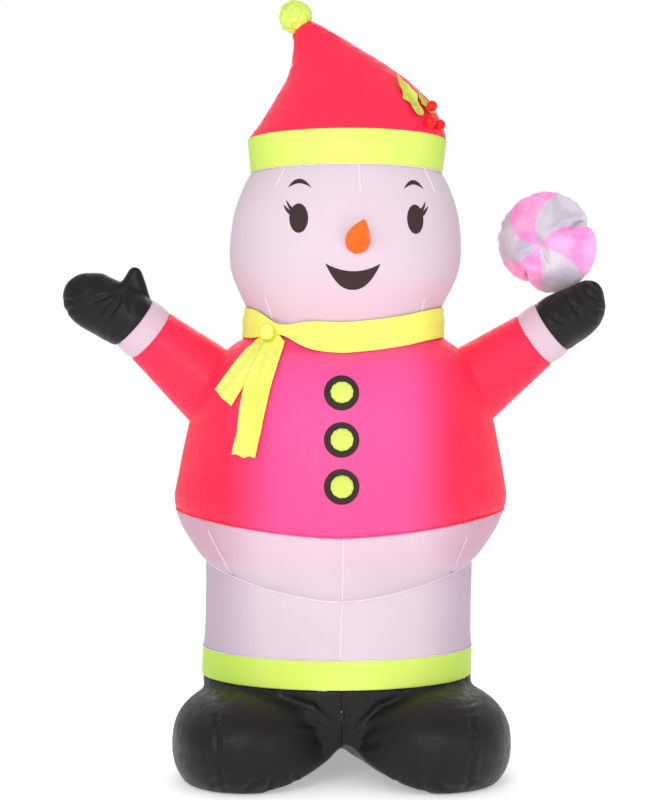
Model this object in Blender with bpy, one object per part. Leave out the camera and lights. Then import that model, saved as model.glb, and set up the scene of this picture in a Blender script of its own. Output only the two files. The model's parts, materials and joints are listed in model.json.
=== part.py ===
"""Inflatable yard snowman, modelled as the separate pieces that it is sewn and screwed together from.

Metres, +Z up, the front faces -Y. The envelope is a stack of turned fabric shells with sleeves, mittens
and boots, kept open inside for the air. The blower sits in the back of the base. Shapes are laid out round
the figure's own axis, and one empty then places them all so that the origin is under the middle of the whole.
"""

import math

import bmesh
import bpy
from mathutils import Matrix, Vector
from mathutils.bvhtree import BVHTree

# ---------------------------------------------------------------- driving dimensions
WALL = 0.0025            # fabric with its seam allowances, thick enough to be a solid
SEAM = 0.0006            # gap between two pieces that are sewn together
TRIM_GAP = 0.0005        # gap between a patch and the fabric under it
SIDES = 32               # facets round the body
DEPTH = 0.88             # front-to-back size of the body over its width
LEAN = 0.0195            # sideways lean of the figure, metres for each metre up
UPRIGHT_Z = 0.86         # height at which the leaning axis crosses the upright one

HEM_BOTTOM = 0.2575      # top edge of the boots
HEM_TOP = 0.336
LEG_TOP = 0.572          # leg to belly seam, at the side
JACKET_HEM = 0.7145
NECK_SEAM = 1.2155
HAT_SEAM = 1.641
BAND_TOP = 1.735

# Radius and height of each section, bottom to top.
HEM_OUTLINE = [(0.3746, HEM_BOTTOM), (0.3740, HEM_TOP)]
LEG_OUTLINE = [(0.3735, HEM_TOP), (0.3685, 0.385), (0.3685, LEG_TOP)]
BELLY_OUTLINE = [(0.3685, LEG_TOP), (0.3880, 0.592), (0.4158, 0.632), (0.4386, 0.671), (0.4550, JACKET_HEM)]
JACKET_OUTLINE = [(0.4550, JACKET_HEM), (0.4595, 0.745), (0.4553, 0.785), (0.4205, 0.964), (0.3840, 1.069),
                  (0.3510, 1.125), (0.3147, 1.161), (0.2757, 1.189), (0.2620, NECK_SEAM)]
HEAD_OUTLINE = [(0.2620, NECK_SEAM), (0.2640, 1.245), (0.2735, 1.275), (0.3106, 1.356), (0.3214, 1.420),
                (0.3147, 1.509), (0.3016, 1.562), (0.2820, 1.6125), (0.2665, HAT_SEAM)]
BAND_OUTLINE = [(0.2665, HAT_SEAM), (0.2778, BAND_TOP)]
HAT_OUTLINE = [(0.2778, BAND_TOP), (0.2551, 1.777), (0.2178, 1.842), (0.1710, 1.899), (0.0863, 1.997),
               (0.0599, 2.030), (0.0306, 2.058)]
HAT_TIP = 2.0748

# How far the front of each seam hangs below its sides, by height.
FRONT_DIP = [(HEM_TOP, 0.0), (LEG_TOP, 0.085), (JACKET_HEM, 0.054), (0.95, 0.0), (1.0, 0.0), (1.189, 0.050),
             (1.272, 0.050), (1.50, 0.0)]
# How far the hat's rings stand beside the axis, by height.
HAT_BEND = [(BAND_TOP, 0.0), (1.777, 0.0097), (1.842, 0.0121), (1.899, -0.0033), (1.944, -0.0267),
            (1.997, -0.0680), (2.030, -0.0963), (2.058, -0.1180), (HAT_TIP, -0.1210)]

SCARF_BOTTOM = 1.190
SCARF_TOP = 1.268
SCARF_CLEAR = 0.0015     # between the scarf and the neck
SCARF_WALL = 0.004

SHOULDER_X = 0.375
SHOULDER_Z = 1.063
ARM_ANGLE = {"left": math.radians(40.0), "right": math.radians(36.0)}
SLEEVE_LENGTH = 0.203
CUFF_LENGTH = 0.060
SLEEVE_INSIDE = 0.15     # how far a sleeve's cone runs on inside the jacket before it is trimmed
SLEEVE_TAPER = 0.132     # growth of the sleeve's radius towards the shoulder, for each metre
CUFF_RADIUS = 0.0815
ARM_SIDES = 20
ARM_SKEW = 0.29          # how far the seams across an arm lie aslant, nearer the body at the front

CANDY_RADIUS = 0.146
CANDY_HALF = 0.108       # half the candy's thickness
CANDY_SIDES = 22
CANDY_GAP = 0.0012       # between the candy and the mitten under it
CANDY_SEAT = (0.6538, 0.050, 1.3263) # where the candy's rim rests behind the mitten's edge
CANDY_ABOVE = math.radians(120.0)    # direction from the seat to the candy's middle
CANDY_TURN = math.radians(-25.0)
CANDY_TILT = math.radians(8.0)

POMPOM_RADIUS = 0.0487
POMPOM_PLACE = (-0.127, 0.0, HAT_TIP + 0.0057)

# Across, height, radius, and how far each berry stands off the hat.
BERRIES = [(0.2240, 1.7935, 0.0150, 0.0170), (0.2260, 1.7580, 0.0170, 0.002), (0.2545, 1.7560, 0.0150, 0.002)]

FACE_TURN = math.radians(7.0)
EYE_PLACE = (0.155, 1.494)
EYE_HALF = (0.0235, 0.0392)
BROW_PLACE = (0.152, 1.577)
MOUTH_PLACE = (-0.0125, 1.3725)
MOUTH_HALF = 0.0725
NOSE_PLACE = (-0.004, 1.4287)
NOSE_RADIUS = 0.033
NOSE_LENGTH = 0.112
NOSE_RISE = math.radians(23.0)

BUTTON_HEIGHTS = (1.032, 0.911, 0.791)
BUTTON_RADIUS = 0.0455
PAD_RADIUS = 0.0295
PAD_RISE = 0.0135

LOBE_PLACE = (0.205, -0.100, 0.100)
LOBE_HALF = (0.238, 0.345, 0.157)
LOBE_POWER = 0.8                     # under 1 makes a boot's sides fuller than an ellipsoid's
LOBE_SPLAY = math.radians(17.0)
SKIRT_FOOT = (0.335, 0.292)          # half sizes of the base between the boots, at the ground
ARCH_END = 0.24                      # where the gap between the boots closes, behind the axis
# Half the gap's outline, across and up, one metre in front of where it closes; it shrinks evenly to there.
ARCH_OUTLINE = [(0.0, 0.208), (0.036, 0.190), (0.066, 0.156), (0.105, 0.116), (0.175, 0.068), (0.262, 0.028),
                (0.350, 0.0), (0.400, -0.10)]
BASE_SPLIT = 0.10                    # the boots end and the rear panel begins here

BLOWER_HEIGHT = 0.150
BLOWER_RADIUS = 0.078
BLOWER_WALL = 0.003
BLOWER_LENGTH = 0.135
BLOWER_STANDOFF = 0.0224             # how far the duct's outer end stands behind the base
RING_RADIUS = 0.104
MOTOR_RADIUS = 0.028
MOTOR_LENGTH = 0.050
SHAFT_RADIUS = 0.003
SHAFT_CLEAR = 0.00008    # running fit between the shaft and the motor
HUB_RADIUS = 0.021
BLADE_CLEAR = 0.004
BLADES = 5

ZIP_BOTTOM = 0.392
ZIP_TOP = 0.556
ZIP_HALF_WIDTH = 0.015
SLIDER_SIZE = (0.015, 0.007, 0.020)
SLIDER_CLEAR = 0.0008
PULL_SIZE = (0.009, 0.0022, 0.030)
PULL_CLEAR = 0.0040                  # from the slider's face to the pull's pin

LAMP_HEIGHT = 1.00
LAMP_RADIUS = 0.030
STRAP_WIDTH = 0.020
STRAP_THICK = 0.002
LOOP_SIZE = (0.050, 0.060)
LOOP_SLOT = (0.024, 0.026)
LOOP_THICK = 0.003
LOOP_ACROSS = 0.205                  # how far to each side the stake loops are sewn
LOOP_CLEAR = 0.0215                  # how far behind the base's foot their hinges lie
TETHER_RADIUS = 0.026
TETHER_HEIGHT = 1.02
TETHER_WIDTH = 0.020

# ---------------------------------------------------------------- scene, materials, small helpers


def clear_scene():
    for obj in list(bpy.data.objects):
        bpy.data.objects.remove(obj)


def new_collection(name):
    collection = bpy.data.collections.new(name)
    bpy.context.scene.collection.children.link(collection)
    return collection


clear_scene()
PARTS = new_collection("yard_snowman")
CUTTERS = new_collection("cutters")


def finish(name, colour, roughness, metallic=0.0):
    material = bpy.data.materials.new(name)
    material.use_nodes = True
    shader = material.node_tree.nodes["Principled BSDF"]
    shader.inputs["Base Color"].default_value = (*colour, 1.0)
    shader.inputs["Roughness"].default_value = roughness
    shader.inputs["Metallic"].default_value = metallic
    return material


PINK = finish("hot_pink_polyester", (1.0, 0.045, 0.12), 0.45)
WHITE = finish("white_polyester", (0.86, 0.76, 0.85), 0.45)
LIME = finish("lime_polyester", (0.62, 0.87, 0.13), 0.45)
YELLOW = finish("yellow_scarf_cloth", (0.88, 0.98, 0.16), 0.6)
BLACK = finish("black_polyester", (0.012, 0.012, 0.013), 0.35)
CANDY_PINK = finish("candy_pink_polyester", (0.95, 0.30, 0.66), 0.45)
BLACK_FELT = finish("black_applique", (0.035, 0.028, 0.030), 0.7)
ORANGE = finish("orange_polyester", (0.98, 0.16, 0.01), 0.5)
LEAF_GREEN = finish("leaf_cloth", (0.62, 0.72, 0.06), 0.6)
BERRY_RED = finish("berry_red_cloth", (0.75, 0.005, 0.01), 0.4)
PLASTIC = finish("black_plastic", (0.02, 0.02, 0.022), 0.4)
STEEL = finish("steel", (0.6, 0.6, 0.62), 0.35, 1.0)
CLEAR = finish("frosted_lamp_cover", (0.95, 0.95, 0.92), 0.3)
WEBBING = finish("black_webbing", (0.02, 0.02, 0.02), 0.8)


def add_object(name, mesh_data, material=None, collection=None):
    obj = bpy.data.objects.new(name, mesh_data)
    (collection or PARTS).objects.link(obj)
    if material:
        mesh_data.materials.append(material)
    if collection is CUTTERS:
        obj.hide_render = True
        obj.display_type = "WIRE"
    return obj


def object_from(name, bm, material=None, collection=None, sharp=math.radians(40)):
    """Closes a bmesh into an object, with its faces pointing out and its curved sides smooth."""
    bmesh.ops.recalc_face_normals(bm, faces=bm.faces)
    data = bpy.data.meshes.new(name)
    bm.to_mesh(data)
    bm.free()
    data.shade_smooth()
    data.set_sharp_from_angle(angle=sharp)
    return add_object(name, data, material, collection)


def made_from(obj):
    """A new mesh of what an object's modifiers make of it."""
    graph = bpy.context.evaluated_depsgraph_get()
    data = bpy.data.meshes.new_from_object(obj.evaluated_get(graph))
    data.materials.clear()
    return data


def boolean(obj, cutter, operation="DIFFERENCE"):
    modifier = obj.modifiers.new(operation.lower(), "BOOLEAN")
    modifier.object = cutter
    modifier.operation = operation
    return obj


def between(table, height):
    """The value at a height in a table of (height, value), straight between its rows."""
    if height <= table[0][0]:
        return table[0][1]
    for (low, first), (high, last) in zip(table, table[1:]):
        if height <= high:
            return first + (last - first) * (height - low) / (high - low)
    return table[-1][1]


# ---------------------------------------------------------------- turned shapes


def spun(outline, sides, closed=True):
    """A bmesh turned about Z from (radius, height) points. An outline that isn't closed ends on the axis."""
    bm = bmesh.new()
    verts = [bm.verts.new((radius, 0.0, height)) for radius, height in outline]
    edges = [bm.edges.new(pair) for pair in zip(verts, verts[1:])]
    if closed:
        edges.append(bm.edges.new((verts[-1], verts[0])))
    bmesh.ops.spin(bm, geom=verts + edges, cent=(0, 0, 0), axis=(0, 0, 1), angle=math.tau, steps=sides,
                   use_merge=True)
    bmesh.ops.remove_doubles(bm, verts=bm.verts, dist=1e-6)
    return bm


def settle(bm, bend=None):
    """Turns nominal rings into the figure's own: flatter front to back, hanging at the front, and leaning."""
    for vert in bm.verts:
        x, y, height = vert.co
        radius = math.hypot(x, y)
        share = 1.0 - (abs(x) / radius) ** 1.6 if radius > 1e-6 and y < 0 else 0.0
        aside = LEAN * (height - UPRIGHT_Z) + (between(bend, height) if bend else 0.0)
        vert.co = (x + aside, y * DEPTH, height - between(FRONT_DIP, height) * share)
    return bm


def grown(outline, by):
    return [(radius + by, height) for radius, height in outline]


def trimmed(outline):
    """The outline with half a seam's gap taken off each end."""
    (first_r, first_z), (last_r, last_z) = outline[0], outline[-1]
    return [(first_r, first_z + SEAM / 2), *outline[1:-1], (last_r, last_z - SEAM / 2)]


def ring_wall(outline, inner, thickness):
    """The closed loop of a wall that starts inner outside the outline and is thickness deep."""
    return grown(outline, inner + thickness) + grown(outline, inner)[::-1]


def body_shell(name, outline, material):
    bm = settle(spun(ring_wall(trimmed(outline), -WALL, WALL), SIDES))
    return object_from(name, bm, material)


def body_skin(name, outline, gap, thickness, sides=SIDES):
    """A cutter that holds the layer from gap to gap + thickness outside a body section."""
    bm = settle(spun(ring_wall(outline, gap, thickness), sides))
    return object_from(name, bm, collection=CUTTERS)


def body_core(name, outline, grow, bend=None):
    """A cutter that fills a body section, grown all round."""
    bottom, top = outline[0][1], outline[-1][1]
    loop = [(0.0, bottom), *grown(outline, grow), (0.0, top)]
    return object_from(name, settle(spun(loop, SIDES, closed=False), bend), collection=CUTTERS)


def surface_of(obj):
    bm = bmesh.new()
    bm.from_mesh(obj.data)
    tree = BVHTree.FromBMesh(bm)
    bm.free()
    return tree


def touch(tree, x, z, from_back=False):
    """The point and normal where a line along Y through (x, z) first meets a surface."""
    start = 2.0 if from_back else -2.0
    place, normal, _, _ = tree.ray_cast(Vector((x, start, z)), Vector((0, -start, 0)))
    return place, normal


def standing_on(place, normal):
    """A matrix whose Z is the normal and whose Y points up the surface."""
    right = Vector((0, 0, 1)).cross(normal).normalized()
    up = normal.cross(right)
    turn = Matrix((right, up, normal)).transposed().to_4x4()
    return Matrix.Translation(place) @ turn


def place_origin(obj, point):
    """Moves an object's origin to a point and leaves its shape where it is."""
    obj.data.transform(Matrix.Translation(-Vector(point)))
    obj.location = point
    return obj


REACH = 0.6              # a patch's cutting prism runs this far out from the axis

# ---------------------------------------------------------------- flat shapes


def ellipse(centre, half, count=24, start=0.0, sweep=math.tau):
    steps = count if sweep >= math.tau else count - 1
    angles = [start + sweep * i / steps for i in range(count)]
    return [(centre[0] + half[0] * math.cos(a), centre[1] + half[1] * math.sin(a)) for a in angles]


def cut_sheet(name, outlines, thickness, matrix, material=None, collection=None):
    """A flat sheet with these outlines, the second one a hole, made a mesh so that it can be cut."""
    curve = bpy.data.curves.new(name, "CURVE")
    curve.dimensions = "2D"
    curve.fill_mode = "BOTH"
    curve.extrude = thickness / 2
    for outline in outlines:
        spline = curve.splines.new("POLY")
        spline.points.add(len(outline) - 1)
        for point, (x, y) in zip(spline.points, outline):
            point.co = (x, y, 0.0, 1.0)
        spline.use_cyclic_u = True
    drawn = bpy.data.objects.new(name + "_drawn", curve)
    CUTTERS.objects.link(drawn)
    data = made_from(drawn)
    bpy.data.objects.remove(drawn)
    bm = bmesh.new()
    bm.from_mesh(data)
    bpy.data.meshes.remove(data)
    bmesh.ops.remove_doubles(bm, verts=bm.verts, dist=1e-6)
    bmesh.ops.transform(bm, matrix=matrix, verts=bm.verts)
    return object_from(name, bm, material, collection)


def facing(turn=0.0, centre=(0.0, 0.0)):
    """A matrix that stands a flat outline up in front of the body: its X to the side, its Y up, its Z outwards."""
    right = Vector((math.cos(turn), math.sin(turn), 0.0))
    out = Vector((math.sin(turn), -math.cos(turn), 0.0))
    frame = Matrix((right, Vector((0, 0, 1)), out)).transposed().to_4x4()
    middle = Vector((centre[0], centre[1], 0.0)) + out * REACH / 2
    return Matrix.Translation(middle) @ frame


def patch(name, outlines, skin, material, turn=0.0, behind=False):
    """A patch sewn on a body section: the part of its skin that lies in front of the outlines."""
    matrix = facing(turn + (math.pi if behind else 0.0), (axis_x(outlines), 0.0) if turn else (0.0, 0.0))
    return boolean(cut_sheet(name, outlines, REACH, matrix, material), skin, "INTERSECT")


def axis_x(outlines):
    """Where the leaning axis stands at the height of an outline."""
    heights = [z for _, z in outlines[0]]
    return LEAN * (sum(heights) / len(heights) - UPRIGHT_Z)


def add_primitive(bm, shape, matrix, **sizes):
    return shape(bm, matrix=matrix, **sizes)["verts"]


def ball(name, half, matrix, segments, rings, material=None, collection=None):
    bm = bmesh.new()
    scale = Matrix.Diagonal((*half, 1.0))
    bmesh.ops.create_uvsphere(bm, u_segments=segments, v_segments=rings, radius=1.0, matrix=matrix @ scale)
    return object_from(name, bm, material, collection)


def rod(name, radius, length, matrix, sides=24, material=None, collection=None):
    """A cylinder from the matrix's origin, along its Z."""
    bm = bmesh.new()
    middle = matrix @ Matrix.Translation((0, 0, length / 2))
    bmesh.ops.create_cone(bm, cap_ends=True, segments=sides, radius1=radius, radius2=radius, depth=length,
                          matrix=middle)
    return object_from(name, bm, material, collection)


def block(name, size, matrix, bevel=0.0, material=None, collection=None):
    bm = bmesh.new()
    bmesh.ops.create_cube(bm, size=1.0, matrix=matrix @ Matrix.Diagonal((*size, 1.0)))
    if bevel:
        bmesh.ops.bevel(bm, geom=bm.edges, offset=bevel, offset_type="OFFSET", affect="EDGES", segments=1,
                        profile=0.5, material=-1)
    return object_from(name, bm, material, collection)


# ---------------------------------------------------------------- base


def boot_lobe(name, side, inset):
    """One boot's rounded form, before the ground flattens it."""
    angles = [math.pi * (i / 10 - 0.5) for i in range(1, 10)]
    round_off = [(math.cos(a) ** LOBE_POWER, math.copysign(abs(math.sin(a)) ** LOBE_POWER, a)) for a in angles]
    bm = spun([(0.0, -1.0), *round_off, (0.0, 1.0)], 20, closed=False)
    half = [size - inset for size in LOBE_HALF]
    place = Matrix.Translation((side * LOBE_PLACE[0], LOBE_PLACE[1], LOBE_PLACE[2]))
    turn = Matrix.Rotation(side * LOBE_SPLAY, 4, "Z")
    bmesh.ops.transform(bm, matrix=place @ turn @ Matrix.Diagonal((*half, 1.0)), verts=bm.verts)
    return object_from(name, bm, collection=CUTTERS)


def base_skirt(name, inset, top):
    """The middle of the base, from the hem down to the ground between the boots."""
    hem = HEM_OUTLINE[0][0]
    outline = [(0.0, -0.1), (SKIRT_FOOT[0] - inset, -0.1), (SKIRT_FOOT[0] - inset, 0.0),
               (hem - 0.004 - inset, HEM_BOTTOM * 0.62), (hem - inset, HEM_BOTTOM), (hem - inset, top), (0.0, top)]
    bm = spun(outline, SIDES, closed=False)
    foot_share = SKIRT_FOOT[1] / SKIRT_FOOT[0]
    for vert in bm.verts:
        share = min(max(vert.co.z / HEM_BOTTOM, 0.0), 1.0)
        vert.co.y *= foot_share + (DEPTH - foot_share) * share
        vert.co.x += LEAN * (vert.co.z - UPRIGHT_Z) * share
    return object_from(name, bm, collection=CUTTERS)


def boot_gap(name, grow):
    """The arched gap under the middle, narrowing backwards to the point where it closes."""
    half = []
    for (ax, az), (bx, bz), (cx, cz) in zip([(-ARCH_OUTLINE[1][0], ARCH_OUTLINE[1][1]), *ARCH_OUTLINE], ARCH_OUTLINE,
                                            [*ARCH_OUTLINE[1:], ARCH_OUTLINE[-1]]):
        run, fall = cx - ax, az - cz
        length = math.hypot(run, fall)
        half.append((bx + grow * fall / length, bz + grow * run / length))
    bm = bmesh.new()
    around = half[::-1] + [(-x, z) for x, z in half[1:]]
    front = bm.faces.new([bm.verts.new((x, ARCH_END - 1.0, z)) for x, z in around])
    back = bmesh.ops.extrude_face_region(bm, geom=[front], use_keep_orig=True)["geom"]
    apex = Vector((0.0, ARCH_END + grow, 0.0))
    for vert in [item for item in back if isinstance(item, bmesh.types.BMVert)]:
        vert.co = apex + (vert.co - apex) * 0.004
    return object_from(name, bm, collection=CUTTERS)


def base_form(name, inset, top):
    """The whole base as one closed form, inset all round; the inner one is cut out of the outer."""
    form = base_skirt(name, inset, top)
    for label, side in (("left", -1), ("right", 1)):
        boolean(form, boot_lobe(f"{name}_lobe_{label}", side, inset), "UNION")
    boolean(form, boot_gap(f"{name}_gap", inset))
    ground = block(f"{name}_ground", (2.0, 2.0, 1.0), Matrix.Translation((0, 0, inset - 0.5)), collection=CUTTERS)
    return boolean(form, ground)


def base_pieces():
    """Both boots and the rear panel: blocks of the outer form, with the inner form taken out."""
    outer = made_from(base_form("base_outer", 0.0, HEM_BOTTOM + 0.1))
    inner = base_form("base_inner", WALL, HEM_BOTTOM + 0.2)
    keep = {
        "boot_left": ((-1.0, 0.0), (-1.0, BASE_SPLIT)),
        "boot_right": ((0.0, 1.0), (-1.0, BASE_SPLIT)),
        "base_rear_panel": ((-1.0, 1.0), (BASE_SPLIT, 1.0)),
    }
    for name, ((x_low, x_high), (y_low, y_high)) in keep.items():
        low = Vector((x_low + SEAM / 2, y_low + SEAM / 2, -0.5))
        high = Vector((x_high - SEAM / 2, y_high - SEAM / 2, HEM_BOTTOM - SEAM / 2))
        limits = block(f"{name}_limits", high - low, Matrix.Translation((low + high) / 2), collection=CUTTERS)
        boolean(boolean(add_object(name, outer.copy(), BLACK), limits, "INTERSECT"), inner)
    hole = rod("blower_hole", BLOWER_RADIUS + BLOWER_WALL + 0.001, 0.3, along_back(0.2), 32, collection=CUTTERS)
    boolean(bpy.data.objects["base_rear_panel"], hole)


def along_back(y, height=BLOWER_HEIGHT):
    """A matrix whose Z points out of the back, at the blower's height."""
    return Matrix.Translation((0, y, height)) @ Matrix.Rotation(math.radians(-90), 4, "X")


# ---------------------------------------------------------------- arms


def arm_matrix(side):
    """A matrix at the shoulder whose Z runs along the arm."""
    sign = -1 if side == "left" else 1
    angle = ARM_ANGLE[side]
    along = Vector((sign * math.cos(angle), 0.0, math.sin(angle)))
    across = Vector((0, 1, 0)).cross(along)
    turn = Matrix((across, Vector((0, 1, 0)), along)).transposed().to_4x4()
    return Matrix.Translation((sign * SHOULDER_X, 0.0, SHOULDER_Z)) @ turn


def aslant():
    """A matrix that slides an arm's front towards the body and its back towards the hand."""
    return Matrix(((1, 0, 0, 0), (0, 1, 0, 0), (0, ARM_SKEW, 1, 0), (0, 0, 0, 1)))


def sleeve_radius(distance):
    return CUFF_RADIUS + SLEEVE_TAPER * (SLEEVE_LENGTH - distance)


def tube(name, stations, matrix, material):
    """A fabric tube from (radius, distance) stations along a matrix's Z."""
    bm = spun(ring_wall(stations, -WALL, WALL), ARM_SIDES)
    bmesh.ops.transform(bm, matrix=matrix, verts=bm.verts)
    return object_from(name, bm, material)


def arm(side, jacket, jacket_core):
    matrix = arm_matrix(side) @ aslant()
    stations = [-SLEEVE_INSIDE, 0.5 * SLEEVE_LENGTH, SLEEVE_LENGTH - SEAM / 2]
    sleeve = tube(f"sleeve_{side}", [(sleeve_radius(t), t) for t in stations], matrix, PINK)
    boolean(sleeve, jacket_core)
    hole = rod(f"armhole_{side}", 0.75 * sleeve_radius(0.0), 0.35, matrix @ Matrix.Translation((0, 0, -0.10)),
               ARM_SIDES, collection=CUTTERS)
    boolean(jacket, hole)
    start, end = SLEEVE_LENGTH + SEAM / 2, SLEEVE_LENGTH + CUFF_LENGTH - SEAM / 2
    tube(f"cuff_{side}", [(CUFF_RADIUS, start), (CUFF_RADIUS - 0.0015, end)], matrix, WHITE)
    return matrix @ Matrix.Translation((0, 0, SLEEVE_LENGTH + CUFF_LENGTH))


def lobe(name, centre, half, angle, inset):
    """One lobe of a mitten: a ball in the plane of the arms, its long way at an angle above level."""
    turn = Matrix.Rotation(-angle, 4, "Y")
    matrix = Matrix.Translation((centre[0], 0.0, centre[1])) @ turn
    return ball(name, [size - inset for size in half], matrix, 14, 8, collection=CUTTERS)


def mitten(side, wrist, lobes):
    """A mitten: a wrist cone joined to its lobes, and hollow but for the thumb."""
    name = f"mitten_{side}"
    outline = [(0.0, -0.004), (CUFF_RADIUS - 0.002, -0.004), (CUFF_RADIUS - 0.006, 0.05), (0.05, 0.08),
               (0.0, 0.08)]
    shapes = []
    for label, inset in (("outer", 0.0), ("inner", WALL)):
        points = [(max(r - inset, 0.0), z - (0.02 if inset and z < 0.0 else 0.0)) for r, z in outline]
        bm = spun(points, ARM_SIDES, closed=False)
        bmesh.ops.transform(bm, matrix=wrist, verts=bm.verts)
        form = object_from(f"{name}_{label}", bm, collection=CUTTERS)
        for number, (centre, half, angle, hollow) in enumerate(lobes):
            if hollow or label == "outer":
                boolean(form, lobe(f"{name}_{label}_{number}", centre, half, angle, inset), "UNION")
        if side == "right":
            boolean(form, candy_form(f"{name}_{label}_seat", CANDY_GAP + inset))
        shapes.append(form)
    behind = wrist @ Matrix.Translation((0, 0, SEAM / 2 - 0.2))
    boolean(shapes[0], block(f"{name}_behind", (0.4, 0.4, 0.4), behind, collection=CUTTERS))
    outer, inner = shapes
    return boolean(add_object(name, made_from(outer), BLACK), inner)


LEFT_LOBES = [((-0.6795, 1.2838), (0.100, 0.060, 0.083), math.radians(-28), True),
              ((-0.6380, 1.2590), (0.084, 0.058, 0.082), math.radians(10), True),
              ((-0.5745, 1.3180), (0.068, 0.028, 0.031), math.radians(85), False)]
RIGHT_LOBES = [((0.6480, 1.2540), (0.096, 0.062, 0.074), math.radians(36), True),
               ((0.6210, 1.2400), (0.084, 0.060, 0.082), math.radians(10), True),
               ((0.6920, 1.3020), (0.050, 0.046, 0.038), math.radians(45), False)]


def candy_matrix():
    """A matrix at the candy's middle whose Z points out of its front face."""
    turn = Matrix.Rotation(CANDY_TURN, 4, "Z") @ Matrix.Rotation(math.radians(90) + CANDY_TILT, 4, "X")
    across = CANDY_SEAT[0] + CANDY_RADIUS * math.cos(CANDY_ABOVE)
    height = CANDY_SEAT[2] + CANDY_RADIUS * math.sin(CANDY_ABOVE)
    return Matrix.Translation((across, CANDY_SEAT[1], height)) @ turn


def candy_outline(grow=0.0, count=6):
    """A quarter of the pillow's section, from the rim to the middle of its face."""
    radius, half = CANDY_RADIUS + grow, CANDY_HALF + grow
    angles = [0.5 * math.pi * i / (count - 1) for i in range(count)]
    return [(radius * math.cos(a), half * math.sin(a)) for a in angles[:-1]] + [(0.0, half)]


def candy_form(name, grow):
    """A cutter that fills the candy, grown all round."""
    outline = candy_outline(grow)
    whole = [(0.0, -outline[-1][1]), *[(r, -z) for r, z in outline[-2:0:-1]], *outline]
    bm = spun(whole, CANDY_SIDES, closed=False)
    bmesh.ops.transform(bm, matrix=candy_matrix(), verts=bm.verts)
    return object_from(name, bm, collection=CUTTERS)


def candy():
    """The peppermint: two fabric cups sewn rim to rim."""
    for label, flip in (("front", 1), ("back", -1)):
        outer = [(r, z + SEAM / 2) for r, z in candy_outline()]
        inner = [(r, z + SEAM / 2) for r, z in candy_outline(-WALL)]
        bm = spun(outer[::-1] + inner, CANDY_SIDES, closed=False)
        bmesh.ops.transform(bm, matrix=candy_matrix() @ Matrix.Diagonal((1, 1, flip, 1)), verts=bm.verts)
        object_from(f"candy_{label}", bm, CANDY_PINK)


# ---------------------------------------------------------------- head and hat


def mirrored(outline, side):
    return [(side * x, z) for x, z in outline]


def eye_outline(side):
    """An oval eye with two lashes at its outer top corner, drawn for the right and mirrored for the left."""
    centre = (EYE_PLACE[0], EYE_PLACE[1])
    start, sweep = math.radians(12), math.radians(-312)
    around = ellipse(centre, EYE_HALF, 22, start, sweep)
    lash_tips = [(0.0275, 0.045), (0.0325, 0.036)]
    root = (centre[0] + EYE_HALF[0] * 0.90, centre[1] + EYE_HALF[1] * 0.50)
    upper, lower = [(centre[0] + x, centre[1] + z) for x, z in lash_tips]
    return mirrored([*around, upper, root, lower], side)


def brow_outline(side):
    """A crescent, thick in the middle."""
    centre, half = BROW_PLACE, 0.028
    top = [(centre[0] + half * t, centre[1] + 0.0235 * (1 - t * t)) for t in (-1, -0.7, -0.35, 0, 0.35, 0.7, 1)]
    low = [(centre[0] + half * t, centre[1] + 0.0125 * (1 - t * t)) for t in (0.7, 0.35, 0, -0.35, -0.7)]
    return mirrored(top + low, side)


def mouth_outline():
    """An open smile: a shallow upper curve and a deep lower one."""
    x, z = MOUTH_PLACE
    steps = [i / 5 - 1 for i in range(11)]
    upper = [(x + MOUTH_HALF * t, z - 0.020 * (1 - t * t)) for t in steps]
    lower = [(x + MOUTH_HALF * t, z - 0.0685 * (1 - abs(t) ** 2.2)) for t in steps[-2:0:-1]]
    return upper + lower


def face():
    skin = body_skin("head_skin", HEAD_OUTLINE, TRIM_GAP, 0.0012)
    for label, side in (("left", -1), ("right", 1)):
        patch(f"eye_{label}", [eye_outline(side)], skin, BLACK_FELT, FACE_TURN)
        patch(f"brow_{label}", [brow_outline(side)], skin, BLACK_FELT, FACE_TURN)
    patch("mouth", [mouth_outline()], skin, BLACK_FELT, FACE_TURN)


def nose(head_tree):
    """A carrot cone, flat where it is sewn on and rising towards its tip."""
    right = Vector((math.cos(FACE_TURN), math.sin(FACE_TURN), 0.0))
    out = Vector((math.sin(FACE_TURN), -math.cos(FACE_TURN), 0.0))
    middle = right * NOSE_PLACE[0] + Vector((LEAN * (NOSE_PLACE[1] - UPRIGHT_Z), 0.0, NOSE_PLACE[1]))
    place, _, _, _ = head_tree.ray_cast(middle + out, -out)
    outline = [(0.0, 0.0), (NOSE_RADIUS * 0.94, 0.0), (NOSE_RADIUS, 0.012), (NOSE_RADIUS * 0.86, 0.035),
               (NOSE_RADIUS * 0.5, 0.075), (NOSE_RADIUS * 0.2, NOSE_LENGTH - 0.008), (0.0, NOSE_LENGTH)]
    inside = [(max(r - WALL, 0.0), z) for r, z in outline[1:-1]] + [(0.0, NOSE_LENGTH - 0.008)]
    bm = spun(outline[:0:-1] + inside, 20, closed=False)
    for vert in bm.verts:
        vert.co.y += vert.co.z * math.tan(NOSE_RISE)
    frame = Matrix((right, Vector((0, 0, 1)), out)).transposed().to_4x4()
    stand = Matrix.Translation(place + out * 0.004) @ frame
    bmesh.ops.transform(bm, matrix=stand, verts=bm.verts)
    return object_from("nose", bm, ORANGE)


def hat_shell():
    outer = trimmed(HAT_OUTLINE + [(0.0, HAT_TIP)])
    inner = [(r - WALL, z) for r, z in outer[:-1]] + [(0.0, HAT_TIP - 0.008)]
    bm = spun(outer[::-1] + inner, SIDES, closed=False)
    return object_from("hat_cone", settle(bm, HAT_BEND), PINK)


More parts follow.
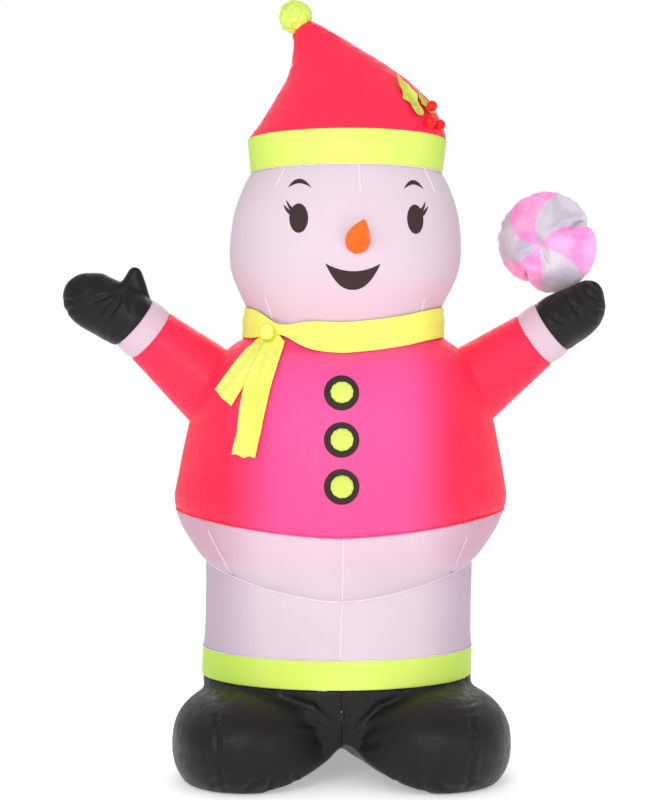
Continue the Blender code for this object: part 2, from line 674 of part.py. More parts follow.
def pompom():
    matrix = Matrix.Translation(POMPOM_PLACE)
    piece = ball("hat_pompom", [POMPOM_RADIUS] * 3, matrix, 14, 8, LIME)
    core = body_core("hat_core", HAT_OUTLINE + [(0.0, HAT_TIP)], TRIM_GAP, HAT_BEND)
    boolean(piece, ball("pompom_inside", [POMPOM_RADIUS - WALL] * 3, matrix, 14, 8, collection=CUTTERS))
    return boolean(piece, core)


def leaf(name, base, tip, hat_tree, width, lift):
    """A holly leaf, hinged where it is sewn on and standing a little off the hat."""
    foot, foot_normal = touch(hat_tree, *base)
    far, far_normal = touch(hat_tree, *tip)
    normal = (foot_normal + far_normal).normalized()
    along = (far - foot) - normal * (far - foot).dot(normal)
    length = along.length
    along.normalize()
    frame = Matrix((along.cross(normal), along, normal)).transposed().to_4x4()
    half = width / 2
    side = [(0.14 * half, 0.0), (0.55 * half, 0.16), (0.82 * half, 0.22), (0.75 * half, 0.36), (half, 0.50),
            (0.72 * half, 0.66), (0.62 * half, 0.80)]
    right = [(x, y * length) for x, y in side]
    outline = [*right, (0.0, length), *[(-x, y) for x, y in reversed(right)]]
    place = foot + normal * lift
    piece = cut_sheet(name, [outline], 0.0016, Matrix.Translation(place) @ frame, LEAF_GREEN)
    return place_origin(piece, place)


# ---------------------------------------------------------------- scarf and buttons


def neck_outline():
    """The scarf's line over the neck: straight across the hollow between the jacket and the head."""
    low = between([(z, r) for r, z in JACKET_OUTLINE], SCARF_BOTTOM)
    high = between([(z, r) for r, z in HEAD_OUTLINE], SCARF_TOP)
    return [(low, SCARF_BOTTOM), (max(low, high) + 0.001, (SCARF_BOTTOM + SCARF_TOP) / 2), (high, SCARF_TOP)]


def scarf(jacket_tree):
    loop = ring_wall(neck_outline(), SCARF_CLEAR, SCARF_WALL)
    band = object_from("scarf_band", settle(spun(loop, SIDES)), YELLOW)
    place, normal = touch(surface_of(band), -0.186, 1.196)
    half = (0.031, 0.030, 0.021)
    knot_at = standing_on(place + normal * (half[2] + 0.001), normal)
    ball("scarf_knot", half, knot_at, 14, 8, YELLOW)
    skin = body_skin("tail_skin", JACKET_OUTLINE, 0.0045, 0.0025)
    short = [(-0.212, 1.150), (-0.337, 1.037), (-0.2885, 0.996), (-0.252, 1.060), (-0.207, 1.141)]
    long = [(-0.200, 1.139), (-0.249, 1.058), (-0.265, 0.968), (-0.2765, 0.877), (-0.2160, 0.8645),
            (-0.188, 0.965), (-0.1640, 1.069), (-0.160, 1.128), (-0.176, 1.140)]
    for name, outline in (("scarf_tail_short", short), ("scarf_tail_long", long)):
        tail = patch(name, [outline], skin, YELLOW)
        pivot_x, pivot_z = outline[0]
        pivot, _ = touch(jacket_tree, pivot_x, pivot_z)
        place_origin(tail, pivot + Vector((-0.004, -0.007, 0.0)))


def buttons(jacket_tree):
    skin = body_skin("button_skin", JACKET_OUTLINE, TRIM_GAP, 0.0015)
    for number, height in enumerate(BUTTON_HEIGHTS, 1):
        rings = [ellipse((0.0, height), (BUTTON_RADIUS,) * 2, 28), ellipse((0.0, height), (PAD_RADIUS + 0.001,) * 2, 20)]
        patch(f"button_ring_{number}", rings, skin, BLACK_FELT)
        place, normal = touch(jacket_tree, 0.001, height)
        outline = [(0.0, 0.0), (PAD_RADIUS * 0.93, 0.0), (PAD_RADIUS, PAD_RISE * 0.3),
                   (PAD_RADIUS * 0.8, PAD_RISE * 0.75), (PAD_RADIUS * 0.4, PAD_RISE * 0.97), (0.0, PAD_RISE)]
        bm = spun(outline, 20, closed=False)
        bmesh.ops.transform(bm, matrix=standing_on(place + normal * 0.0035, normal), verts=bm.verts)
        object_from(f"button_pad_{number}", bm, LIME)


# ---------------------------------------------------------------- blower


def grille(name, outer_y, depth):
    """A round guard: hoops and three bars across."""
    start = along_back(outer_y)
    rims = [(BLOWER_RADIUS - 0.0006, 0.006), (0.040, 0.005)]
    hoops = []
    for number, (radius, width) in enumerate(rims):
        bm = spun([(radius, 0.0), (radius, depth), (radius - width, depth), (radius - width, 0.0)], 16)
        bmesh.ops.transform(bm, matrix=start, verts=bm.verts)
        if number:
            hoops.append(object_from(f"{name}_hoop_{number}", bm, collection=CUTTERS))
        else:
            guard = object_from(name, bm, PLASTIC)
    for number in range(3):
        turn = Matrix.Rotation(math.pi * number / 3 + 0.1, 4, "Z")
        size = (2 * BLOWER_RADIUS - 0.006, 0.0045, depth * 0.8)
        matrix = start @ turn @ Matrix.Translation((0, 0, depth / 2))
        hoops.append(block(f"{name}_bar_{number}", size, matrix, collection=CUTTERS))
    for hoop in hoops:
        boolean(guard, hoop, "UNION")
    return guard


def skirt_back(height):
    """How far the base reaches behind the axis at a height."""
    hem = HEM_OUTLINE[0][0]
    radius = between([(0.0, SKIRT_FOOT[0]), (HEM_BOTTOM * 0.62, hem - 0.004), (HEM_BOTTOM, hem)], height)
    foot_share = SKIRT_FOOT[1] / SKIRT_FOOT[0]
    return radius * (foot_share + (DEPTH - foot_share) * min(height / HEM_BOTTOM, 1.0))


def blower():
    """An in-line fan in a duct: its axis points out of the back of the base."""
    back = skirt_back(BLOWER_HEIGHT + RING_RADIUS) + BLOWER_STANDOFF
    front = back - BLOWER_LENGTH
    outer = BLOWER_RADIUS + BLOWER_WALL
    duct = spun([(BLOWER_RADIUS, 0.0), (outer, 0.0), (outer, BLOWER_LENGTH - 0.004), (outer + 0.010, BLOWER_LENGTH - 0.004),
                 (outer + 0.010, BLOWER_LENGTH), (BLOWER_RADIUS, BLOWER_LENGTH)], 32)
    bmesh.ops.transform(duct, matrix=along_back(front), verts=duct.verts)
    object_from("blower_duct", duct, PLASTIC)
    grille("intake_grille", back - 0.0045, 0.004)
    grille("outlet_grille", front + 0.0005, 0.004)
    ring_in = outer + 0.0006
    ring = spun([(ring_in, 0.0), (RING_RADIUS, 0.0), (RING_RADIUS, 0.004), (ring_in + 0.004, 0.009),
                 (ring_in, 0.009)], 32)
    bmesh.ops.transform(ring, matrix=along_back(back - 0.004 - 0.0005 - 0.009), verts=ring.verts)
    object_from("mounting_ring", ring, PLASTIC)
    motor_at = front + 0.024
    bore = SHAFT_RADIUS + SHAFT_CLEAR
    motor = spun([(bore, 0.0), (MOTOR_RADIUS - 0.003, 0.0), (MOTOR_RADIUS, 0.003), (MOTOR_RADIUS, MOTOR_LENGTH - 0.003),
                  (MOTOR_RADIUS - 0.003, MOTOR_LENGTH), (bore, MOTOR_LENGTH)], 20)
    bmesh.ops.transform(motor, matrix=along_back(motor_at), verts=motor.verts)
    object_from("fan_motor", motor, STEEL)
    spider_hole = MOTOR_RADIUS + 0.0004
    spider = object_from("motor_bracket", spun_at([(spider_hole, 0.0), (spider_hole + 0.004, 0.0),
                                                   (spider_hole + 0.004, 0.012), (spider_hole, 0.012)], motor_at + 0.006, 20),
                         PLASTIC)
    arm_length = BLOWER_RADIUS - 0.0005 - spider_hole - 0.001
    for number in range(4):
        turn = Matrix.Rotation(math.tau * number / 4 + 0.4, 4, "Z")
        middle = Matrix.Translation((spider_hole + 0.001 + arm_length / 2, 0, 0.006))
        boolean(spider, block(f"bracket_arm_{number}", (arm_length, 0.006, 0.010),
                              along_back(motor_at + 0.006) @ turn @ middle, collection=CUTTERS), "UNION")
    impeller(motor_at + MOTOR_LENGTH + 0.004)
    shaft = rod("fan_shaft", SHAFT_RADIUS, MOTOR_LENGTH + 0.032, along_back(motor_at - 0.003), 20, STEEL)
    place_origin(shaft, (0.0, motor_at, BLOWER_HEIGHT))
    inlet_place = along_back(back + 0.0004) @ Matrix.Translation((outer + 0.001, 0.0, 0.0))
    inlet = rod("power_inlet", 0.0075, 0.012, inlet_place, 16, PLASTIC)
    boolean(inlet, rod("inlet_bore", 0.0032, 0.03, inlet_place @ Matrix.Translation((0, 0, 0.003)), 12,
                       collection=CUTTERS))


def spun_at(outline, y, sides):
    bm = spun(outline, sides)
    bmesh.ops.transform(bm, matrix=along_back(y), verts=bm.verts)
    return bm


def impeller(y):
    """A hub with a bore for the shaft, and blades set at an angle."""
    bore = SHAFT_RADIUS + 0.0003
    depth = 0.020
    hub = object_from("fan_impeller", spun_at([(bore, 0.0), (HUB_RADIUS, 0.0), (HUB_RADIUS, depth * 0.8),
                                               (HUB_RADIUS - 0.004, depth), (bore, depth)], y, 20), PLASTIC)
    reach = BLOWER_RADIUS - BLADE_CLEAR - HUB_RADIUS + 0.002
    for number in range(BLADES):
        turn = Matrix.Rotation(math.tau * number / BLADES, 4, "Z")
        middle = Matrix.Translation((HUB_RADIUS - 0.002 + reach / 2, 0.0, depth / 2))
        pitch = Matrix.Rotation(math.radians(32), 4, "X")
        blade = block(f"blade_{number}", (reach, 0.034, 0.0022), along_back(y) @ turn @ middle @ pitch,
                      collection=CUTTERS)
        boolean(hub, blade, "UNION")
    place_origin(hub, (0.0, y, BLOWER_HEIGHT))


# ---------------------------------------------------------------- zip, lamps, loops


def deflation_zip(leg_tree):
    """The zip in the back of the legs that lets the air out: a tape, its slider and the slider's pull."""
    skin = body_skin("zip_skin", LEG_OUTLINE, TRIM_GAP, 0.0022)
    half = ZIP_HALF_WIDTH
    corners = [(-half, ZIP_BOTTOM), (half, ZIP_BOTTOM), (half, ZIP_TOP), (-half, ZIP_TOP)]
    patch("zip_tape", [corners], skin, WEBBING, behind=True)
    seat, _ = touch(leg_tree, 0.0002, ZIP_TOP, from_back=True)
    back = seat.y + TRIM_GAP + 0.0022 + SLIDER_CLEAR
    centre = Vector((0.0, back + SLIDER_SIZE[1] / 2, ZIP_TOP - SLIDER_SIZE[2] / 2 - 0.004))
    slider = block("zip_slider", SLIDER_SIZE, Matrix.Translation(centre), 0.0015, STEEL)
    place_origin(slider, centre)
    pivot = centre + Vector((0.0, SLIDER_SIZE[1] / 2 + PULL_CLEAR, 0.004))
    pull_centre = pivot - Vector((0.0, 0.0, PULL_SIZE[2] / 2 - 0.003))
    pull = block("zip_pull", PULL_SIZE, Matrix.Translation(pull_centre), 0.0006, STEEL)
    place_origin(pull, pivot)


def lamp():
    """A lamp inside the chest, hung from a strap that is sewn across the neck."""
    height = NECK_SEAM + 0.02
    x = LEAN * (height - UPRIGHT_Z)
    half_length = between([(z, r) for r, z in HEAD_OUTLINE], height) - WALL - 0.0035
    size = (2 * half_length, STRAP_WIDTH, STRAP_THICK)
    block("lamp_strap", size, Matrix.Translation((x, 0, height)), material=WEBBING)
    stem = height - STRAP_THICK / 2 - TRIM_GAP - LAMP_HEIGHT
    rod("lamp_socket", 0.012, stem, Matrix.Translation((x, 0, LAMP_HEIGHT)), 16, PLASTIC)
    cover = Matrix.Translation((x, 0, LAMP_HEIGHT - TRIM_GAP - LAMP_RADIUS))
    ball("lamp_cover", [LAMP_RADIUS] * 3, cover, 14, 8, CLEAR)


def stake_loop(name, side):
    """A webbing loop on the ground for a stake, hinged where it is sewn to the rear panel."""
    foot = SKIRT_FOOT[1] * math.sqrt(1.0 - (LOOP_ACROSS / SKIRT_FOOT[0]) ** 2)
    root = Vector((side * LOOP_ACROSS, foot + LOOP_CLEAR, LOOP_THICK / 2 + 0.0015))
    width, length = LOOP_SIZE
    outer = [(-width / 2, 0.0), (width / 2, 0.0), (width / 2, length * 0.8), (width * 0.3, length),
             (-width * 0.3, length), (-width / 2, length * 0.8)]
    low = length - LOOP_SLOT[1] - 0.010
    hole = [(-LOOP_SLOT[0] / 2, low), (LOOP_SLOT[0] / 2, low), (LOOP_SLOT[0] / 2, low + LOOP_SLOT[1]),
            (-LOOP_SLOT[0] / 2, low + LOOP_SLOT[1])]
    piece = cut_sheet(name, [outer, hole], LOOP_THICK, Matrix.Translation(root), WEBBING)
    return place_origin(piece, root)


def tether_loop(name, side, jacket_tree):
    """A D of webbing sewn to the back of the jacket, for a guy line."""
    place, normal = touch(jacket_tree, side * 0.20, TETHER_HEIGHT, from_back=True)
    across = Vector((0, 0, 1)).cross(normal).normalized()
    frame = Matrix((across, normal, across.cross(normal))).transposed().to_4x4()
    outer = ellipse((0.0, 0.0), (TETHER_RADIUS,) * 2, 11, 0.0, math.pi)
    inner = ellipse((0.0, 0.002), (TETHER_RADIUS - 0.004, TETHER_RADIUS - 0.006), 11, 0.0, math.pi)
    stand = Matrix.Translation(place + normal * 0.0016) @ frame
    return cut_sheet(name, [outer, inner], TETHER_WIDTH, stand, WEBBING)


def holly(hat_tree):
    leaf("holly_leaf_large", (0.2120, 1.776), (0.1400, 1.886), hat_tree, 0.056, 0.008)
    leaf("holly_leaf_small", (0.2420, 1.785), (0.2080, 1.850), hat_tree, 0.052, 0.0135)
    for number, (x, z, radius, lift) in enumerate(BERRIES, 1):
        place, normal = touch(hat_tree, x, z)
        ball(f"holly_berry_{number}", [radius] * 3, Matrix.Translation(place + normal * (radius + lift)), 12, 8,
             BERRY_RED)


# ---------------------------------------------------------------- the whole figure


def build():
    base_pieces()
    body_shell("hem_band", HEM_OUTLINE, LIME)
    leg = body_shell("leg_panel", LEG_OUTLINE, WHITE)
    body_shell("belly_panel", BELLY_OUTLINE, WHITE)
    jacket = body_shell("jacket", JACKET_OUTLINE, PINK)
    head = body_shell("head", HEAD_OUTLINE, WHITE)
    body_shell("hat_band", BAND_OUTLINE, LIME)
    hat = hat_shell()
    jacket_tree, hat_tree = surface_of(jacket), surface_of(hat)
    scarf(jacket_tree)
    jacket_core = body_core("jacket_core", JACKET_OUTLINE, TRIM_GAP)
    lobes = {"left": LEFT_LOBES, "right": RIGHT_LOBES}
    for side, forms in lobes.items():
        mitten(side, arm(side, jacket, jacket_core), forms)
    candy()
    face()
    nose(surface_of(head))
    pompom()
    holly(hat_tree)
    buttons(jacket_tree)
    blower()
    deflation_zip(surface_of(leg))
    lamp()
    for label, side in (("left", -1), ("right", 1)):
        stake_loop(f"stake_loop_{label}", side)
        tether_loop(f"tether_loop_{label}", side, jacket_tree)
    stand_in_middle()


def stand_in_middle():
    """Hangs everything from one empty, placed so that the origin is under the middle of the whole."""
    stand = bpy.data.objects.new("figure_axis", None)
    bpy.context.view_layer.update()
    graph = bpy.context.evaluated_depsgraph_get()
    corners = []
    for obj in PARTS.objects:
        solid = obj.evaluated_get(graph)
        corners += [obj.matrix_world @ Vector(corner) for corner in solid.bound_box]
    low, high = [[pick(corner[i] for corner in corners) for i in range(3)] for pick in (min, max)]
    for obj in [*PARTS.objects, *CUTTERS.objects]:
        obj.parent = stand
    PARTS.objects.link(stand)
    stand.location = (-(low[0] + high[0]) / 2, -(low[1] + high[1]) / 2, -low[2])


build()
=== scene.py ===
"""Air-filled yard snowman: sewn fabric sections, appliques, scarf, holly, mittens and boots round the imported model.

Shapes are laid out round the figure's own axis, as the sections were cut, and every finished piece is then
moved by one offset, STAND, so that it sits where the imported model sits.
"""

import json
import math

import bmesh
import bpy
from mathutils import Matrix, Vector, noise
from mathutils.bvhtree import BVHTree


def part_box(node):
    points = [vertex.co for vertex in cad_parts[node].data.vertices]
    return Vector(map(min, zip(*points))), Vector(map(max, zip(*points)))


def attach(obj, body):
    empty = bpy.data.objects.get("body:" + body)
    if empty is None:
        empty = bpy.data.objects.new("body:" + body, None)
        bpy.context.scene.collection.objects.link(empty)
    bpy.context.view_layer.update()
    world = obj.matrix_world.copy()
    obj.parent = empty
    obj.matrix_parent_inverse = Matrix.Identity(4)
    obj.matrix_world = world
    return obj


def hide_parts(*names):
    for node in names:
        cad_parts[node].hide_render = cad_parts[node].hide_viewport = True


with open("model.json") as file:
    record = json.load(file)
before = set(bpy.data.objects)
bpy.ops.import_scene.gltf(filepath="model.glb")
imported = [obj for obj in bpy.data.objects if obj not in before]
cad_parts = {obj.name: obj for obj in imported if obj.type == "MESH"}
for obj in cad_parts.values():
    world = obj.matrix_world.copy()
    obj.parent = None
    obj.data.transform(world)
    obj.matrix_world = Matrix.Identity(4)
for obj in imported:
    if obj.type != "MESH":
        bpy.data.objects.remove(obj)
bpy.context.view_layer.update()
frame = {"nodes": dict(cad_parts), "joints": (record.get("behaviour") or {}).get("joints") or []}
NODES = frame["nodes"]

# ---------------------------------------------------------------- sizes, in metres
DEPTH = 0.88
LEAN = 0.0195
UPRIGHT_Z = 0.86
HEM_BOTTOM, HEM_TOP, LEG_TOP, JACKET_HEM = 0.2575, 0.336, 0.572, 0.7145
NECK_SEAM, HAT_SEAM, BAND_TOP, HAT_TIP = 1.2155, 1.641, 1.735, 2.0748
HEM_OUTLINE = [(0.3746, HEM_BOTTOM), (0.3740, HEM_TOP)]
LEG_OUTLINE = [(0.3735, HEM_TOP), (0.3685, 0.385), (0.3685, LEG_TOP)]
BELLY_OUTLINE = [(0.3685, LEG_TOP), (0.3880, 0.592), (0.4158, 0.632), (0.4386, 0.671), (0.4550, JACKET_HEM)]
JACKET_OUTLINE = [(0.4550, JACKET_HEM), (0.4595, 0.745), (0.4553, 0.785), (0.4205, 0.964), (0.3840, 1.069),
                  (0.3510, 1.125), (0.3147, 1.161), (0.2757, 1.189), (0.2620, NECK_SEAM)]
HEAD_OUTLINE = [(0.2620, NECK_SEAM), (0.2640, 1.245), (0.2735, 1.275), (0.3106, 1.356), (0.3214, 1.420),
                (0.3147, 1.509), (0.3016, 1.562), (0.2820, 1.6125), (0.2665, HAT_SEAM)]
BAND_OUTLINE = [(0.2665, HAT_SEAM), (0.2778, BAND_TOP)]
HAT_OUTLINE = [(0.2778, BAND_TOP), (0.2551, 1.777), (0.2178, 1.842), (0.1710, 1.899), (0.0863, 1.997),
               (0.0599, 2.030), (0.0306, 2.058), (0.0, HAT_TIP)]
FRONT_DIP = [(HEM_TOP, 0.0), (LEG_TOP, 0.085), (JACKET_HEM, 0.054), (0.95, 0.0), (1.0, 0.0), (1.189, 0.050),
             (1.272, 0.050), (1.50, 0.0)]
HAT_BEND = [(BAND_TOP, 0.0), (1.777, 0.0097), (1.842, 0.0121), (1.899, -0.0033), (1.944, -0.0267),
            (1.997, -0.0680), (2.030, -0.0963), (2.058, -0.1180), (HAT_TIP, -0.1210)]
SHOULDER = (0.375, 1.063)
ARM_ANGLE = {"left": math.radians(40.0), "right": math.radians(36.0)}
SLEEVE_LENGTH, CUFF_LENGTH = 0.203, 0.060
SLEEVE_TAPER, CUFF_RADIUS = 0.132, 0.0815
ARM_SKEW = 0.29          # the seams across an arm lie aslant, nearer the body at the front
FACE_TURN = math.radians(7.0)
EYE_PLACE, EYE_HALF, BROW_PLACE = (0.155, 1.494), (0.0235, 0.0392), (0.152, 1.577)
MOUTH_PLACE, MOUTH_HALF = (-0.0125, 1.3725), 0.0725
BUTTON_HEIGHTS, BUTTON_RADIUS, PAD_RADIUS = (1.032, 0.911, 0.791), 0.0455, 0.0295
CANDY_RADIUS, CANDY_HALF = 0.146, 0.108
POMPOM_RADIUS = 0.0487
BASE_SPLIT = 0.10
SIDES = 384              # facets round a body section
RING_STEP = 0.0068
SEAM_PULL = 0.0020       # how far a sewn seam pulls the cloth in
RIM = 0.012              # seam allowance turned inwards
CLOTH = 0.0012

band_low, band_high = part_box("hat_band")
STAND = Vector(((band_low.x + band_high.x) / 2 - LEAN * (BAND_TOP - UPRIGHT_Z), (band_low.y + band_high.y) / 2, 0.0))

# ---------------------------------------------------------------- camera, lights, floor


def studio():
    scene = bpy.context.scene
    scene.view_settings.view_transform = "Standard"
    lens = bpy.data.cameras.new("camera")
    lens.sensor_fit = "AUTO"
    lens.sensor_width = 36.0
    lens.lens = 79.16
    camera = bpy.data.objects.new("camera", lens)
    camera.location = (STAND.x - 0.0209, STAND.y - 4.9, 1.0137)
    camera.rotation_euler = (math.pi / 2, 0.0, 0.0)
    scene.collection.objects.link(camera)
    scene.camera = camera
    sky = bpy.data.worlds.new("studio")
    sky.use_nodes = True
    scene.world = sky
    nodes, links = sky.node_tree.nodes, sky.node_tree.links
    nodes.clear()
    path = nodes.new("ShaderNodeLightPath")
    lit = nodes.new("ShaderNodeBackground")
    lit.inputs["Color"].default_value = (1.0, 1.0, 1.0, 1.0)
    lit.inputs["Strength"].default_value = 0.66
    seen = nodes.new("ShaderNodeBackground")
    seen.inputs["Color"].default_value = (1.0, 1.0, 1.0, 1.0)
    mix = nodes.new("ShaderNodeMixShader")
    out = nodes.new("ShaderNodeOutputWorld")
    links.new(path.outputs["Is Camera Ray"], mix.inputs[0])
    links.new(lit.outputs[0], mix.inputs[1])
    links.new(seen.outputs[0], mix.inputs[2])
    links.new(mix.outputs[0], out.inputs[0])
    for name, place, aim, size, power in (
            ("key", (-0.9, -4.6, 2.6), (0.0, 0.0, 1.1), 2.2, 80.0),
            ("fill", (2.6, -3.6, 1.6), (0.0, 0.0, 1.0), 2.4, 22.0),
            ("back", (0.0, 3.8, 3.2), (0.0, 0.0, 1.0), 3.0, 60.0)):
        lamp = bpy.data.lights.new(name, "AREA")
        lamp.size = size
        lamp.energy = power
        obj = bpy.data.objects.new(name, lamp)
        obj.location = place
        obj.rotation_euler = (Vector(aim) - Vector(place)).to_track_quat("-Z", "Y").to_euler()
        scene.collection.objects.link(obj)
    bm = bmesh.new()
    bmesh.ops.create_grid(bm, x_segments=8, y_segments=8, size=14.0)
    data = bpy.data.meshes.new("floor")
    bm.to_mesh(data)
    bm.free()
    floor = bpy.data.objects.new("floor", data)
    scene.collection.objects.link(floor)
    pale = bpy.data.materials.new("pale_floor")
    pale.use_nodes = True
    shader = pale.node_tree.nodes["Principled BSDF"]
    shader.inputs["Base Color"].default_value = (0.93, 0.93, 0.93, 1.0)
    shader.inputs["Roughness"].default_value = 0.9
    shader.inputs["Emission Color"].default_value = (1.0, 1.0, 1.0, 1.0)
    shader.inputs["Emission Strength"].default_value = 0.38
    data.materials.append(pale)


# ---------------------------------------------------------------- finishes


class Finish:
    """A node material with short ways to add and join its nodes."""

    def __init__(self, name, roughness, sheen=0.0, metallic=0.0, specular=0.5, coords="Object"):
        self.material = bpy.data.materials.new(name)
        self.material.use_nodes = True
        self.tree = self.material.node_tree
        self.shader = self.tree.nodes["Principled BSDF"]
        for socket, value in (("Roughness", roughness), ("Sheen Weight", sheen), ("Metallic", metallic),
                              ("Specular IOR Level", specular)):
            self.shader.inputs[socket].default_value = value
        self.shader.inputs["Sheen Roughness"].default_value = 0.4
        self.place = self.node("TexCoord").outputs[coords]
        self.solid = self.node("TexCoord").outputs["Object"]
        self.bumps = []

    def node(self, kind, **settings):
        made = self.tree.nodes.new("ShaderNode" + kind)
        for key, value in settings.items():
            setattr(made, key, value)
        return made

    def join(self, value, socket):
        if isinstance(value, (int, float)):
            socket.default_value = value
        elif isinstance(value, tuple):
            socket.default_value = (*value, 1.0)[:len(socket.default_value)]
        else:
            self.tree.links.new(value, socket)

    def maths(self, operation, first, second=0.0, clamp=False):
        node = self.node("Math", operation=operation, use_clamp=clamp)
        self.join(first, node.inputs[0])
        self.join(second, node.inputs[1])
        return node.outputs[0]

    def axis(self, name):
        node = self.node("SeparateXYZ")
        self.join(self.solid, node.inputs[0])
        return node.outputs[name]

    def noise(self, scale, detail=3.0, stretch=(1.0, 1.0, 1.0), place=None, warp=0.0):
        mapping = self.node("Mapping")
        mapping.inputs["Scale"].default_value = stretch
        self.join(place or self.solid, mapping.inputs["Vector"])
        node = self.node("TexNoise")
        self.join(mapping.outputs[0], node.inputs["Vector"])
        for socket, value in (("Scale", scale), ("Detail", detail), ("Distortion", warp)):
            node.inputs[socket].default_value = value
        return node.outputs["Fac"]

    def ramp(self, value, low, high, start=0.0, end=1.0):
        node = self.node("MapRange", interpolation_type="SMOOTHSTEP")
        for socket, given in zip(node.inputs[:5], (value, low, high, start, end)):
            self.join(given, socket)
        return node.outputs[0]

    def blend(self, share, first, second, kind="MIX"):
        node = self.node("Mix", data_type="RGBA", blend_type=kind)
        self.join(share, node.inputs[0])
        self.join(first, node.inputs[6])
        self.join(second, node.inputs[7])
        return node.outputs[2]

    def wave(self, period, direction, place=None):
        node = self.node("TexWave", bands_direction=direction, wave_profile="SIN")
        node.inputs["Scale"].default_value = math.tau / 20.0 / period
        self.join(place or self.place, node.inputs["Vector"])
        return node.outputs["Fac"]

    def weave(self, period):
        """Over-and-under threads, drawn as two sets of ribs, across and along, multiplied together."""
        return self.maths("MULTIPLY", self.wave(period, "X"), self.wave(period, "Y"))

    def bump(self, height, distance, strength=1.0):
        node = self.node("Bump")
        node.inputs["Strength"].default_value = strength
        node.inputs["Distance"].default_value = distance
        self.join(height, node.inputs["Height"])
        if self.bumps:
            self.join(self.bumps[-1], node.inputs["Normal"])
        self.bumps.append(node.outputs[0])

    def done(self, colour, roughness=None):
        self.join(colour, self.shader.inputs["Base Color"])
        if roughness is not None:
            self.join(roughness, self.shader.inputs["Roughness"])
        if self.bumps:
            self.join(self.bumps[-1], self.shader.inputs["Normal"])
        return self.material


def polyester(name, colour, dark, light, sheen=0.02, rough=(0.42, 0.58), tint=None, crumple=0.0016, specular=0.25):
    """Thin satin-woven polyester: fine threads, soft clouding where it is slack, and tiny crumples."""
    f = Finish(name, rough[0], sheen, specular=specular, coords="UV")
    cloud = f.noise(3.1, 2.0)
    base = f.blend(f.ramp(cloud, 0.34, 0.66), dark, light)
    base = f.blend(0.5, base, colour)
    threads = f.weave(0.0016)
    base = f.blend(f.maths("MULTIPLY", threads, 0.10), base, tuple(0.80 * c for c in dark))
    # tint lays painted light over the cloth's colour: painted highlight, painted reflected light or painted shade, by
    # position
    for share, shade in (tint(f) if tint else ()):
        base = f.blend(share, base, shade)
    f.bump(f.noise(26.0, 3.0, stretch=(1.0, 1.0, 0.55), warp=0.4), crumple, 0.55)
    f.bump(threads, 0.00012, 0.5)
    return f.done(base, f.ramp(f.noise(42.0, 2.0), 0.3, 0.7, *rough))


def jacket_painted_highlight(f):
    """Painted highlight: the jacket runs from a redder pink at the sides to a cooler, paler one, a painted sheen of
    light, in the middle of the front and back.
    """
    across = f.maths("ABSOLUTE", f.maths("SUBTRACT", f.axis("X"), STAND.x + 0.002))
    middle = f.ramp(across, 0.15, 0.32, 1.0, 0.0)
    upright = f.maths("MULTIPLY", f.ramp(f.axis("Z"), 0.66, 1.05, 0.80, 1.0), f.ramp(f.axis("Z"), 1.10, 1.24, 1.0, 0.0))
    # the painted highlight's colour, laid down the middle below the neck
    return [(f.maths("MULTIPLY", middle, upright), (1.0, 0.085, 0.320))]


def white_painted_reflection_and_shade(f):
    """Painted light: pink light from the jacket is painted onto the white cloth next to it (low on the head, on the
    belly, on the cuffs) as painted reflection, and the sides are painted darker and cooler as painted shade.
    """
    height = f.axis("Z")
    low = f.ramp(height, 1.20, 1.42, 0.50, 0.0)
    belly = f.maths("MULTIPLY", f.ramp(height, 0.47, 0.66, 0.0, 0.42), f.ramp(height, 0.90, 1.0, 1.0, 0.0))
    across = f.maths("ABSOLUTE", f.maths("SUBTRACT", f.axis("X"), STAND.x))
    body = f.ramp(height, 1.18, 1.22, 0.0, 1.0)
    sleeve = f.ramp(across, 0.48, 0.52, 0.0, 0.45)
    edge = f.ramp(across, 0.19, 0.38, 0.0, 0.72)
    waist = f.maths("MULTIPLY", f.ramp(height, 0.54, 0.60, 0.0, 1.0), f.ramp(height, 0.90, 1.0, 1.0, 0.0))
    shin = f.ramp(height, 0.54, 0.58, 1.0, 0.0)
    # The first three colours are painted reflected pink light from the jacket. The last three are painted shade towards
    # the sides, and the waist one is also pinker as painted reflected light.
    return [(f.maths("MULTIPLY", low, body), (0.78, 0.46, 0.57)), (belly, (0.72, 0.44, 0.56)), (sleeve, (0.76, 0.50, 0.63)),
            (f.maths("MULTIPLY", edge, waist), (0.56, 0.22, 0.34)), (f.maths("MULTIPLY", edge, shin), (0.40, 0.29, 0.41)),
            (f.ramp(across, 0.20, 0.37, 0.0, 0.25), (0.56, 0.44, 0.54))]


def lime_painted_side_shade(f):
    """Painted shade: lime cloth painted deeper and darker towards the sides."""
    across = f.maths("ABSOLUTE", f.maths("SUBTRACT", f.axis("X"), STAND.x))
    return [(f.ramp(across, 0.16, 0.36, 0.0, 0.70), (0.42, 0.72, 0.055))]


# The tints are painted light: a painted highlight on the pink, painted reflected pink light and painted shade on the
# white, painted shade on the lime.
PINK = polyester("hot_pink_polyester", (1.0, 0.020, 0.075), (0.94, 0.014, 0.058), (1.0, 0.026, 0.092), tint=jacket_painted_highlight)
WHITE = polyester("white_polyester", (0.70, 0.575, 0.655), (0.665, 0.54, 0.62), (0.735, 0.61, 0.69), tint=white_painted_reflection_and_shade)
LIME = polyester("lime_polyester", (0.68, 0.86, 0.14), (0.60, 0.78, 0.10), (0.75, 0.90, 0.19), tint=lime_painted_side_shade)
YELLOW = polyester("yellow_scarf_cloth", (0.90, 0.93, 0.16), (0.78, 0.84, 0.09), (0.98, 0.97, 0.26), sheen=0.05,
                   rough=(0.5, 0.68))
BLACK = polyester("black_polyester", (0.008, 0.007, 0.008), (0.005, 0.004, 0.005), (0.012, 0.010, 0.011), sheen=0.04,
                  rough=(0.36, 0.50), crumple=0.0018, specular=0.24)
